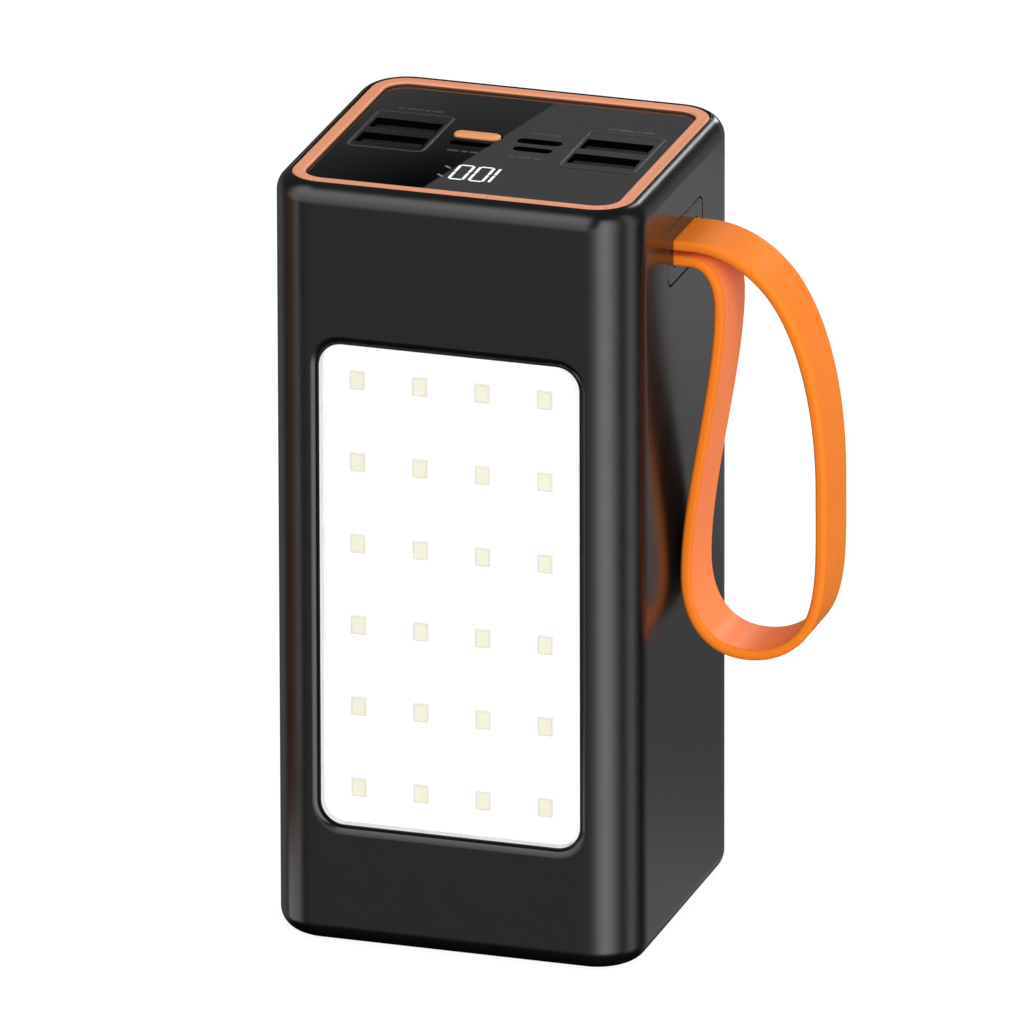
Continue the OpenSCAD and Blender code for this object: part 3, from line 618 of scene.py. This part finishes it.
def button_solid():
    """Pill with a softly crowned top, its flange below and its stem down to the switch."""
    low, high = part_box("power_button")
    size = [s - CAP_PLAY for s in BUTTON_SIZE]
    pill = (*size, full_round(size))
    shoulder = high.z - CROWN_RISE - CAP_ROUND
    place = Matrix.Translation((*BUTTON_PLACE, 0))
    loops = [loop(*pill, BUTTON_FLANGE_TOP, steps=16)]
    for across, along in arc(0, 82, CAP_ROUND, 8):
        loops.append(loop(*pill, shoulder + along, across - CAP_ROUND, steps=16))
    loops.append(loop(*pill, high.z, -CROWN_INSET, steps=16))
    cap = loft("cap", loops, place)
    levels = (BUTTON_FLANGE_TOP - BUTTON_FLANGE_T, BUTTON_FLANGE_TOP)
    flange = loft("flange", [loop(*BUTTON_FLANGE_OUTLINE, z, steps=16) for z in levels], place)
    stem = prism("stem", circle(*BUTTON_PLACE, STEM_R, 30), low.z, BUTTON_FLANGE_TOP - OVERLAP)
    return boolean(cap, [flange, stem], "UNION")


def power_button():
    """Orange pill button that stands up through the panel."""
    cap = button_solid()
    cap.name = "power_button_cap"
    cap.data.materials.append(BUTTON_MATERIAL)
    smooth(cap)
    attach(cap, "button")
    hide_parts("power_button")


# ---------------------------------------------------------------- lamp

def lens_cover():
    """Cover with a rounded front edge, a flange behind the wall and a hollow back."""
    loops = [loop(*LENS_OUTLINE, -LENS_BACK, -LENS_WALL),
             loop(*LENS_OUTLINE, -LENS_BACK, 0),
             loop(*LENS_OUTLINE, -LENS_BACK, FLANGE_MARGIN),
             loop(*LENS_OUTLINE, -FLANGE_SEAT, FLANGE_MARGIN),
             loop(*LENS_OUTLINE, -FLANGE_SEAT, 0)]
    for across, along in arc(0, 90, LENS_EDGE):
        loops.append(loop(*LENS_OUTLINE, along - LENS_EDGE - LENS_RECESS, across - LENS_EDGE))
    front = loft("front", loops, FRONT)
    levels = (-LENS_BACK - CLEAR, -LENS_RECESS - LENS_WALL)
    hollow = loft("hollow", [loop(*LENS_OUTLINE, z, -LENS_WALL) for z in levels], FRONT)
    return boolean(front, [hollow], "DIFFERENCE")


def lamp_lens():
    """Clear lamp cover, black on its flange, with the sleeve round it."""
    front = lens_cover()
    front.name = "lamp_cover"
    front.data.materials.append(LENS_MATERIAL)
    front.data.materials.append(MASK_MATERIAL)
    half_w, half_h = LENS_W / 2 + SKIRT_FAR, LENS_H / 2 + SKIRT_FAR
    for face in front.data.polygons:
        if abs(face.center.x) > half_w or abs(face.center.z - LAMP_Z) > half_h:
            face.material_index = 1
    smooth(front)
    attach(front, "housing")
    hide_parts("lamp_lens")
    lens_skirt(-LENS_RECESS - SKIRT_FAR, -LENS_BACK + SKIRT_NEAR)


def lens_skirt(top, bottom):
    """Thin sleeve round the lens: white inside and on top, black outside, towards the groove."""
    profile = [(SKIRT_FAR, bottom), (SKIRT_FAR, top), (SKIRT_NEAR, top), (SKIRT_NEAR, bottom)]
    loops = [loop(*LENS_OUTLINE, z, grow) for grow, z in profile]
    skirt = loft("lens_skirt", loops, FRONT, ring=True)
    skirt.data.materials.append(MASK_MATERIAL)
    skirt.data.materials.append(SKIRT_MATERIAL)
    top_row, inner_row = 1, 2
    for face in skirt.data.polygons:
        if face.index // len(loops[0]) in (top_row, inner_row):
            face.material_index = 1
    smooth(skirt)
    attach(skirt, "housing")


# ---------------------------------------------------------------- strap

HINGE = Vector(next(joint["pos_m"] for joint in frame["joints"] if joint["name"] == "strap_swing"))
LAYER_OFFSET = 1.45 * MM
LOOP_START = (HINGE.x, STRAP_Z + LAYER_OFFSET)
# Cubic curves round the loop: two control points and the end, each as (x, z) in millimetres.
LOOP_CURVES = [
    ((43.5, 131.0), (49.6, 127.6), (53.6, 121.8)),
    ((58.6, 114.4), (61.8, 102.0), (61.8, 86.0)),
    ((61.8, 76.0), (62.2, 68.0), (60.0, 62.3)),
    ((58.0, 57.4), (53.6, 54.4), (48.2, 54.3)),
    ((41.4, 54.2), (36.6, 58.8), (36.5, 68.0)),
    ((36.4, 83.0), (42.6, 104.0), (42.75, 119.0)),
    ((42.8, 125.0), (40.6, 128.0), (HINGE.x / MM, (STRAP_Z - LAYER_OFFSET) / MM)),
]
CURVE_STEPS = 44
STRAIGHT_STEPS = 10
EDGE_ROUND = 0.8 * MM
EDGE_STEPS = 10
OUTER_COLUMNS = 88
INNER_COLUMNS = 22
ANCHOR_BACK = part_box("strap_anchor")[0].x
HEAD_OUTLINE = (17.4 * MM, 8.6 * MM, 1 * MM)
HEAD_T = 2.9 * MM
HEAD_BACK_ROUND = 0.6 * MM
HEAD_FRONT_ROUND = 0.3 * MM
RIB_COUNT = 8
RIB_PITCH = 1.35 * MM
RIB_HEIGHT = 0.15 * MM
RIB_START = 13.1 * MM
RIB_LENGTH = 5 * MM


def cubic(begin, b, c, end, t):
    """Point at t along a cubic curve with the control points b and c."""
    return begin * (1 - t) ** 3 + b * 3 * t * (1 - t) ** 2 + c * 3 * t * t * (1 - t) + end * t ** 3


def strap_path():
    """Points (x, z) along the middle of the band: out of the wall, round the loop and back in."""
    inside = ANCHOR_BACK + HEAD_T - OVERLAP
    begin = Vector(LOOP_START)
    shares = [k / STRAIGHT_STEPS for k in range(STRAIGHT_STEPS + 1)]
    points = [Vector((inside + (begin.x - inside) * share, begin.y)) for share in shares[:-1]]
    for controls in LOOP_CURVES:
        b, c, end = (Vector(p) * MM for p in controls)
        points += [cubic(begin, b, c, end, k / CURVE_STEPS) for k in range(CURVE_STEPS)]
        begin = end
    return points + [Vector((begin.x + (inside - begin.x) * share, begin.y)) for share in shares]


def band_section():
    """(across the width, outwards from the band, on the outer face) round the band's section."""
    half_t = STRAP_T / 2
    side = STRAP_W / 2 - EDGE_ROUND
    middle = half_t - EDGE_ROUND
    section = [(side * (2 * k / OUTER_COLUMNS - 1), half_t, True) for k in range(OUTER_COLUMNS + 1)]
    for a, b in arc(90, -90, EDGE_ROUND, EDGE_STEPS)[1:]:
        section.append((side + a, b + (middle if b > 0 else -middle), False))
    for k in range(1, INNER_COLUMNS + 1):
        section.append((side * (1 - 2 * k / INNER_COLUMNS), -half_t, False))
    for a, b in arc(270, 90, EDGE_ROUND, EDGE_STEPS)[1:-1]:
        section.append((a - side, b + (middle if b > 0 else -middle), False))
    return section


def rib(across, along):
    """Height of the fine grip ribs at a place on the outer face."""
    half_span = RIB_COUNT * RIB_PITCH / 2
    if abs(across) > half_span or not RIB_START < along < RIB_START + RIB_LENGTH:
        return 0.0
    wave = 0.5 - 0.5 * math.cos(2 * math.pi * (across + half_span) / RIB_PITCH)
    ends = math.sin(math.pi * (along - RIB_START) / RIB_LENGTH)
    return RIB_HEIGHT * wave * min(1.0, 2 * ends)


def band_loops(path, section):
    """The section at every point of the path, with the ribs on its outer face."""
    loops = []
    travelled = 0.0
    for i, p in enumerate(path):
        ahead = path[min(i + 1, len(path) - 1)]
        behind = path[max(i - 1, 0)]
        along = (ahead - behind).normalized()
        outwards = Vector((-along.y, along.x))
        if i:
            travelled += (p - path[i - 1]).length
        points = []
        for across, out, outer in section:
            lift = rib(across, travelled) if outer else 0.0
            spot = p + outwards * (out + lift)
            points.append((spot.x, across, spot.y))
        loops.append(points)
    return loops


def strap_head():
    """Rounded block inside the wall that both ends of the band grow out of."""
    loops = []
    r = HEAD_BACK_ROUND
    for across, along in arc(-90, 0, r, 4):
        loops.append(loop(*HEAD_OUTLINE, r + along, across - r, steps=8))
    r = HEAD_FRONT_ROUND
    for across, along in arc(0, 90, r, 4):
        loops.append(loop(*HEAD_OUTLINE, HEAD_T - r + along, across - r, steps=8))
    return loft("head", loops, SIDE @ Matrix.Translation((0, 0, ANCHOR_BACK - SIDE_X)))


def strap():
    """One continuous silicone band with its anchor head inside the wall."""
    path = strap_path()
    section = band_section()
    strap_piece = join("hand_strap", [loft("band", band_loops(path, section)), strap_head()])
    strap_piece.data.materials.append(STRAP_MATERIAL)
    strap_piece.data.materials.append(STRAP_INNER_PAINTED_LIGHT_MATERIAL)
    # Faces on the inner side of the band take the brighter copy, which is painted light.
    inner_first = OUTER_COLUMNS + EDGE_STEPS
    inner_last = inner_first + INNER_COLUMNS
    for k in range((len(path) - 1) * len(section)):
        if inner_first <= k % len(section) < inner_last:
            strap_piece.data.polygons[k].material_index = 1
    smooth(strap_piece, STRAP_SMOOTH_ANGLE)
    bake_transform(strap_piece)
    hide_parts("strap_loop", "strap_anchor")


def strap_plate():
    """Flush plate at the strap's root, with a finely rounded outer edge."""
    thick = PLATE_HIGH.x - PLATE_LOW.x
    loops = [loop(*PLATE_OUTLINE, -thick)]
    for across, along in arc(0, 90, PLATE_ROUND, 4):
        loops.append(loop(*PLATE_OUTLINE, along - PLATE_ROUND, across - PLATE_ROUND))
    plate = loft("strap_root_plate", loops, SIDE)
    boolean(plate, [slot_cutter(thick)], "DIFFERENCE")
    plate.data.materials.append(SHELL_MATERIAL)
    smooth(plate)
    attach(plate, "housing")
    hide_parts("strap_plate")


# ---------------------------------------------------------------- carried-over nodes

def finish_cad_nodes():
    """Gives every CAD node that no piece stands for its material."""
    paint(SOCKET_METAL, *[f"usb_a_shell_{k}" for k in range(1, 5)])
    paint(SOCKET_PLASTIC, *[f"usb_a_tongue_{k}" for k in range(1, 5)])
    paint(GOLD, *[f"usb_a_contacts_{k}" for k in range(1, 5)])
    paint(FOIL, *[f"battery_cell_{k}" for k in range(1, 6)])
    paint(COVER_MATERIAL, "top_cover", "switch_body")
    paint(STEEL, "cover_screws", "board_screws")
    paint(SOCKET_PLASTIC, "usb_c_tongue", "micro_usb_tongue", "inlet_tongue")
    paint(SOCKET_PLASTIC, "switch_plunger", "display_module")
    paint(SOCKET_METAL, "usb_c_shell", "micro_usb_shell", "inlet_shell")
    paint(BOARD, "main_board", "protection_board")
    paint(CHIP, "controller_chips", "protection_chips")
    paint(FERRITE, "inductors")
    paint(CAN, "capacitors")
    paint(DIGIT_MATERIAL, "display_segments")
    paint(DIM_MATERIAL, "display_marks")
    paint(GASKET_MATERIAL, "lens_gasket")
    # The lamp board's faint glow is painted light.
    paint(LAMP_BOARD_PAINTED_LIGHT_MATERIAL, "lamp_board")
    # The LEDs' faint glow is painted light, since the lamp is off.
    paint(LED_CASE_PAINTED_LIGHT_MATERIAL, "lamp_leds")
    paint(PHOSPHOR_PAINTED_LIGHT_MATERIAL, "led_phosphors")
    paint(NICKEL, "cell_tabs", "bus_bars")
    paint(FOAM, "foam_pads")
    paint(WIRE_RED, "battery_lead_positive")
    paint(WIRE_BLACK, "battery_lead_negative")
    paint(WIRE_WHITE, "lamp_leads")


# ---------------------------------------------------------------- camera, floor and light

# Where the camera stands round AIM, and its small roll and shift.
AZIMUTH = math.radians(17.655)
ELEVATION = math.radians(20.271)
ROLL = math.radians(-0.153)
DISTANCE = 4.558
FOCAL_LENGTH = 890.1
AIM = Vector((0, 0, 72.5 * MM))
SHIFT = (0.00943, 0.00853)


def camera():
    """Long lens from the front right, a little above."""
    data = bpy.data.cameras.new("camera")
    data.sensor_width = 36
    data.lens = FOCAL_LENGTH
    data.shift_x, data.shift_y = SHIFT
    data.clip_start, data.clip_end = 0.1, 100
    level = math.cos(ELEVATION)
    back = Vector((math.sin(AZIMUTH) * level, -math.cos(AZIMUTH) * level, math.sin(ELEVATION)))
    obj = bpy.data.objects.new("camera", data)
    bpy.context.scene.collection.objects.link(obj)
    obj.location = AIM + back * DISTANCE
    turn = (-back).to_track_quat("-Z", "Y").to_matrix().to_4x4()
    obj.rotation_mode = "QUATERNION"
    obj.rotation_quaternion = (turn @ Matrix.Rotation(ROLL, 4, "Z")).to_quaternion()
    bpy.context.scene.camera = obj


def math_node(tree, operation, *values):
    """Math node; a value is a number or another node's output."""
    node = tree.nodes.new("ShaderNodeMath")
    node.operation = operation
    for socket, value in zip(node.inputs, values):
        if isinstance(value, (int, float)):
            socket.default_value = value
        else:
            tree.links.new(value, socket)
    return node.outputs[0]


def both(tree, first, second):
    return math_node(tree, "MULTIPLY", first, second)


def fade(tree, value, start, end):
    """0 at start, 1 at end, smooth between."""
    node = tree.nodes.new("ShaderNodeMapRange")
    node.interpolation_type = "SMOOTHSTEP"
    node.inputs["From Min"].default_value = start
    node.inputs["From Max"].default_value = end
    tree.links.new(value, node.inputs["Value"])
    return node.outputs["Result"]


def ramp(tree, value, stops):
    """Colours along value, straight between (place, colour) stops."""
    first, last = stops[0][0], stops[-1][0]
    spread = tree.nodes.new("ShaderNodeMapRange")
    spread.inputs["From Min"].default_value = first
    spread.inputs["From Max"].default_value = last
    tree.links.new(value, spread.inputs["Value"])
    node = tree.nodes.new("ShaderNodeValToRGB")
    tree.links.new(spread.outputs["Result"], node.inputs["Fac"])
    elements = node.color_ramp.elements
    elements[1].position = 1.0
    for place, _ in stops[1:-1]:
        elements.new((place - first) / (last - first))
    for element, (_, colour) in zip(elements, stops):
        colour = colour if isinstance(colour, tuple) else (colour,) * 3
        element.color = (*colour, 1)
    return node.outputs["Color"]


def vector_node(tree, operation, first, second):
    node = tree.nodes.new("ShaderNodeVectorMath")
    node.operation = operation
    tree.links.new(first, node.inputs[0])
    tree.links.new(second, node.inputs["Scale"] if operation == "SCALE" else node.inputs[1])
    return node.outputs[0]


# What the gloss sees round the horizon: azimuth in degrees (0 front, 90 right) and brightness or colour.
HORIZON = [
    (-180, 0.1), (-160, 0.07), (-135, 0.15), (-118, 0.32), (-107, 0.3), (-96, (0.2, 0.1, 0.08)),
    (-84, (0.42, 0.2, 0.14)), (-74, (0.62, 0.32, 0.22)), (-66, (0.95, 0.68, 0.58)), (-58, 1.3),
    (-52, 0.4), (-46, 0.15), (-36, 0.4), (-17, 0.44), (-5, 0.46), (5, 0.75), (13, 1.65), (22, 2.9),
    (31, 3.7), (40, 3.6), (49, 2.6), (58, 1.5), (67, 0.55), (76, 0.3), (87, 0.95), (97, 1.5), (110, 0.45),
    (123, 0.01), (139, 0.12), (152, 0.3), (166, 0.3), (180, 0.08),
]
# In every pair of angles below, the light is off at the first angle and full at the second. The horizon's
# top stands CORNER_RISE degrees higher where both of the corner's pairs are full.
HORIZON_BOTTOM = (-42, -23)
HORIZON_TOP = (17, -7)
CORNER_CLIMB = (14, 30)
CORNER_FALL = (125, 108)
CORNER_RISE = 38.0
# The front softbox: elevation in degrees and brightness, and the azimuths of its sides.
FRONT_BOX = [
    (-15, 0.0), (-4, 0.95), (8, 1.65), (16, 1.95), (28, 2.5), (42, 2.8), (48, 2.6), (55, 2.0), (60, 1.0),
    (65, 0.35), (70, 0.08), (90, 0.0),
]
FRONT_BOX_LEFT = (-92, -62)
FRONT_BOX_RIGHT = (8, -10)
# A faint sky over everything.
SKY_GLOSS = 0.1
SKY_GLOSS_EDGE = (-20, 20)
# Small lights: middle azimuth and elevation, half width and height, tilt, softness, all in degrees, and
# brightness. Their azimuth runs from 0 to 360.
STRIPS = [(167, 23.2, 3.0, 24, 29, 1.4, 5.2), (188, 28, 6, 8, 0, 4, 3.0)]


def strip(tree, azimuth, elevation, az, el, half_w, half_h, tilt, soft, brightness):
    """Soft-edged rectangle of light round (az, el), turned by its tilt."""
    c, s = math.cos(math.radians(tilt)), math.sin(math.radians(tilt))
    amount = brightness
    for a, b, half in ((c, s, half_w), (-s, c, half_h)):
        part = math_node(tree, "MULTIPLY_ADD", elevation, b, -a * az - b * el)
        offset = math_node(tree, "ABSOLUTE", math_node(tree, "MULTIPLY_ADD", azimuth, a, part))
        amount = math_node(tree, "MULTIPLY", fade(tree, offset, half + soft, half - soft), amount)
    return amount


def horizon_light(tree, azimuth, elevation):
    """The band round the horizon, whose top climbs at the front right corner."""
    corner = both(tree, fade(tree, azimuth, *CORNER_CLIMB), fade(tree, azimuth, *CORNER_FALL))
    lowered = math_node(tree, "MULTIPLY_ADD", corner, -CORNER_RISE, elevation)
    level = both(tree, fade(tree, elevation, *HORIZON_BOTTOM), fade(tree, lowered, *HORIZON_TOP))
    return vector_node(tree, "SCALE", ramp(tree, azimuth, HORIZON), level)


def front_box_light(tree, azimuth, elevation):
    sides = both(tree, fade(tree, azimuth, *FRONT_BOX_LEFT), fade(tree, azimuth, *FRONT_BOX_RIGHT))
    return vector_node(tree, "SCALE", ramp(tree, elevation, FRONT_BOX), sides)


def small_lights(tree, azimuth, elevation):
    """The faint sky and the strips, all of them grey."""
    amount = math_node(tree, "MULTIPLY", fade(tree, elevation, *SKY_GLOSS_EDGE), SKY_GLOSS)
    around = math_node(tree, "FLOORED_MODULO", azimuth, 360.0)
    for place in STRIPS:
        amount = math_node(tree, "ADD", amount, strip(tree, around, elevation, *place))
    combined = tree.nodes.new("ShaderNodeCombineXYZ")
    for socket in combined.inputs:
        tree.links.new(amount, socket)
    return combined.outputs[0]


def gloss_light(tree):
    """What gloss reflects, a dark studio with a few soft boxes, and the elevation of each direction."""
    coordinates = tree.nodes.new("ShaderNodeTexCoord")
    split = tree.nodes.new("ShaderNodeSeparateXYZ")
    tree.links.new(coordinates.outputs["Generated"], split.inputs[0])
    x, y, z = split.outputs
    forward = math_node(tree, "MULTIPLY", y, -1.0)
    azimuth = math_node(tree, "DEGREES", math_node(tree, "ARCTAN2", x, forward))
    elevation = math_node(tree, "DEGREES", math_node(tree, "ARCSINE", z))
    horizon = horizon_light(tree, azimuth, elevation)
    box = front_box_light(tree, azimuth, elevation)
    total = vector_node(tree, "ADD", horizon, box)
    return vector_node(tree, "ADD", total, small_lights(tree, azimuth, elevation)), elevation


def background(tree, colour=None, strength=None):
    """White background light of strength 1, unless told otherwise."""
    node = tree.nodes.new("ShaderNodeBackground")
    node.inputs["Color"].default_value = (1, 1, 1, 1)
    if colour is not None:
        tree.links.new(colour, node.inputs["Color"])
    if strength is not None:
        tree.links.new(strength, node.inputs["Strength"])
    return node.outputs[0]


def choose(tree, factor, no, yes):
    """The shader no where factor is 0, yes where it is 1."""
    node = tree.nodes.new("ShaderNodeMixShader")
    tree.links.new(factor, node.inputs["Fac"])
    tree.links.new(no, node.inputs[1])
    tree.links.new(yes, node.inputs[2])
    return node.outputs[0]


# Light on matt surfaces from above and from below, and the elevations where one turns into the other.
SKY = 1.02
GROUND = 0.32
SKY_EDGE = (-30, 12)


def studio():
    """World: white to the camera, studio lights to gloss and a soft sky to everything else."""
    world = bpy.data.worlds.new("studio")
    bpy.context.scene.world = world
    world.use_nodes = True
    tree = world.node_tree
    tree.nodes.clear()
    gloss, elevation = gloss_light(tree)
    soft = math_node(tree, "MULTIPLY_ADD", fade(tree, elevation, *SKY_EDGE), SKY - GROUND, GROUND)
    soft_light = background(tree, strength=soft)
    rays = tree.nodes.new("ShaderNodeLightPath")
    lit = choose(tree, rays.outputs["Is Glossy Ray"], soft_light, background(tree, gloss))
    lit = choose(tree, rays.outputs["Is Camera Ray"], lit, background(tree))
    output = tree.nodes.new("ShaderNodeOutputWorld")
    tree.links.new(lit, output.inputs["Surface"])


KEY_PLACE = Vector((0.89, -0.92, 0.3))
KEY_SIZE = 0.8
KEY_POWER = 12.5


def key_light():
    """Soft square light from the front right, which the gloss doesn't see."""
    data = bpy.data.lights.new("key", "AREA")
    data.shape = "RECTANGLE"
    data.size = data.size_y = KEY_SIZE
    data.energy = KEY_POWER
    obj = bpy.data.objects.new("key", data)
    bpy.context.scene.collection.objects.link(obj)
    obj.location = KEY_PLACE
    obj.rotation_euler = (AIM - KEY_PLACE).to_track_quat("-Z", "Y").to_euler()
    obj.visible_glossy = False


FLOOR_HALF = 6.0


def floor():
    """White floor that keeps a faint contact shade, and that neither gloss nor matt surfaces see."""
    mesh = bpy.data.meshes.new("studio_floor")
    corners = [(sx * FLOOR_HALF, sy * FLOOR_HALF, 0) for sx, sy in ((-1, -1), (1, -1), (1, 1), (-1, 1))]
    mesh.from_pydata(corners, [], [(0, 1, 2, 3)])
    obj = add_object("studio_floor", mesh)
    material = bpy.data.materials.new("studio_floor")
    material.use_nodes = True
    shader = material.node_tree.nodes["Principled BSDF"]
    shader.inputs["Roughness"].default_value = 0.9
    shader.inputs["Specular IOR Level"].default_value = 0.0
    shader.inputs["Base Color"].default_value = (0.16, 0.16, 0.16, 1)
    shader.inputs["Emission Color"].default_value = (1, 1, 1, 1)
    shader.inputs["Emission Strength"].default_value = 0.9
    mesh.materials.append(material)
    obj.visible_glossy = False
    obj.visible_diffuse = False


def card(name, corners, paint_card):
    """Flat card that only gloss sees, and whose brightness paint_card works out from its x, y and z."""
    mesh = bpy.data.meshes.new(name)
    mesh.from_pydata(corners, [], [(0, 1, 2, 3)])
    obj = add_object(name, mesh)
    material = bpy.data.materials.new(name)
    material.use_nodes = True
    tree = material.node_tree
    tree.nodes.clear()
    split = tree.nodes.new("ShaderNodeSeparateXYZ")
    tree.links.new(tree.nodes.new("ShaderNodeTexCoord").outputs["Object"], split.inputs[0])
    glow = tree.nodes.new("ShaderNodeEmission")
    tree.links.new(paint_card(tree, *split.outputs), glow.inputs["Color"])
    output = tree.nodes.new("ShaderNodeOutputMaterial")
    tree.links.new(glow.outputs[0], output.inputs["Surface"])
    mesh.materials.append(material)
    obj.visible_camera = False
    obj.visible_diffuse = False
    obj.visible_shadow = False
    obj.visible_transmission = False


# The port panel mirrors this card: a point of the panel shows the card at that point plus TOP_BOUNCE.
TOP_BOUNCE = Vector((-0.2845, 0.8938, 0.3465)) * 0.12
TOP_CARD_HALF = (36 * MM, 34 * MM)
# Its slanted edge: how far it runs to the right for each metre back, its place and its half softness.
SLANT = 0.177
SLANT_X = -4.8 * MM
SLANT_SOFT = 0.15 * MM
RIGHT_TONE = 0.29
# Left of the edge it grows brighter towards the back and, more weakly, towards the left.
BACK_TONE = 0.14
BACK_FADE = (-24 * MM, 34 * MM)
LEFT_TONE = 0.085
LEFT_FADE = (-6 * MM, -40 * MM)


def paint_top_card(tree, x, y, z):
    """Even grey on the right, darker on the left, and a slanted edge between."""
    from_edge = math_node(tree, "MULTIPLY_ADD", y, -SLANT, x)
    edge = TOP_BOUNCE.x - SLANT * TOP_BOUNCE.y + SLANT_X
    right = fade(tree, from_edge, edge - SLANT_SOFT, edge + SLANT_SOFT)
    back = fade(tree, y, TOP_BOUNCE.y + BACK_FADE[0], TOP_BOUNCE.y + BACK_FADE[1])
    left = fade(tree, x, TOP_BOUNCE.x + LEFT_FADE[0], TOP_BOUNCE.x + LEFT_FADE[1])
    dark = math_node(tree, "MULTIPLY", back, BACK_TONE)
    dark = math_node(tree, "MULTIPLY_ADD", left, LEFT_TONE, dark)
    bright = math_node(tree, "MULTIPLY", right, RIGHT_TONE)
    rest = both(tree, math_node(tree, "SUBTRACT", 1.0, right), dark)
    return math_node(tree, "ADD", bright, rest)


def top_card():
    middle = Vector((0, 0, PANEL_TOP)) + TOP_BOUNCE
    w, d = TOP_CARD_HALF
    corners = [middle + Vector((sx * w, sy * d, 0)) for sx, sy in ((-1, -1), (1, -1), (1, 1), (-1, 1))]
    card("studio_card_top", corners, paint_top_card)


LEFT_CARD_X = -150 * MM
LEFT_CARD_Y = (-120 * MM, -8 * MM)
LEFT_CARD_Z = (-75 * MM, -20 * MM)
LEFT_CARD_TONES = [(0, (0.4, 0.22, 0.17)), (1, 1.7)]
LEFT_CARD_SOFT = 18 * MM
LEFT_CARD_SOFT_FRONT = 22 * MM


def paint_left_card(tree, x, y, z):
    """Soft light for the foot of the left corner, fading upwards and to both ends."""
    (y0, y1), top = LEFT_CARD_Y, LEFT_CARD_Z[1]
    front = fade(tree, y, y0, y0 + LEFT_CARD_SOFT_FRONT)
    ends = both(tree, front, fade(tree, y, y1, y1 - LEFT_CARD_SOFT))
    amount = both(tree, fade(tree, z, top, top - LEFT_CARD_SOFT), ends)
    return ramp(tree, amount, LEFT_CARD_TONES)


def left_card():
    x, (y0, y1), (z0, z1) = LEFT_CARD_X, LEFT_CARD_Y, LEFT_CARD_Z
    card("studio_card_left", [(x, y0, z0), (x, y1, z0), (x, y1, z1), (x, y0, z1)], paint_left_card)


SIDE_CARD_X = (40 * MM, 170 * MM)
SIDE_CARD_Y = 150 * MM
# The side wall shows the card higher than it stands, by this much for each metre back.
SIDE_BOUNCE = 0.3877
# Brightness up the side wall's mirror image, by height in millimetres.
SIDE_TONES = [
    (-20, 0.36), (3, 0.34), (10, 0.29), (20, 0.23), (30, 0.19), (48, 0.185), (60, 0.21), (80, 0.27),
    (100, 0.33), (118, 0.38), (132, 0.42), (150, 0.4),
]


def paint_side_card(tree, x, y, z):
    height = math_node(tree, "MULTIPLY_ADD", z, 1 / MM, SIDE_BOUNCE * SIDE_CARD_Y / MM)
    return ramp(tree, height, SIDE_TONES)


def side_card():
    (x0, x1), y = SIDE_CARD_X, SIDE_CARD_Y
    z0, z1 = (SIDE_TONES[k][0] * MM - SIDE_BOUNCE * SIDE_CARD_Y for k in (0, -1))
    card("studio_card_side", [(x0, y, z0), (x1, y, z0), (x1, y, z1), (x0, y, z1)], paint_side_card)


FLAG_GAP = 1 * MM
FLAG_BOTTOM = FRAME_TOP + 0.5 * MM
FLAG_TOP = FRAME_TOP + 32 * MM
FLAG_TONES = [(FRAME_TOP, 0.12), (FLAG_TOP, 0.3)]


def paint_flag(tree, x, y, z):
    return ramp(tree, z, FLAG_TONES)


def flags():
    """Dark boards over the front and right edges, so that the panel stays black from behind."""
    x, y = PANEL_W / 2 + FLAG_GAP, -PANEL_D / 2 - FLAG_GAP
    for name, a, b in (("front", (-x, y), (x, y)), ("right", (x, y), (x, -y))):
        corners = [(*a, FLAG_BOTTOM), (*b, FLAG_BOTTOM), (*b, FLAG_TOP), (*a, FLAG_TOP)]
        card("studio_flag_" + name, corners, paint_flag)


camera()
housing()
orange_frame()
port_panel()
power_button()
lamp_lens()
strap()
strap_plate()
finish_cad_nodes()
studio()
floor()
top_card()
left_card()
side_card()
flags()
key_light()
bpy.context.scene.view_settings.view_transform = "Standard"
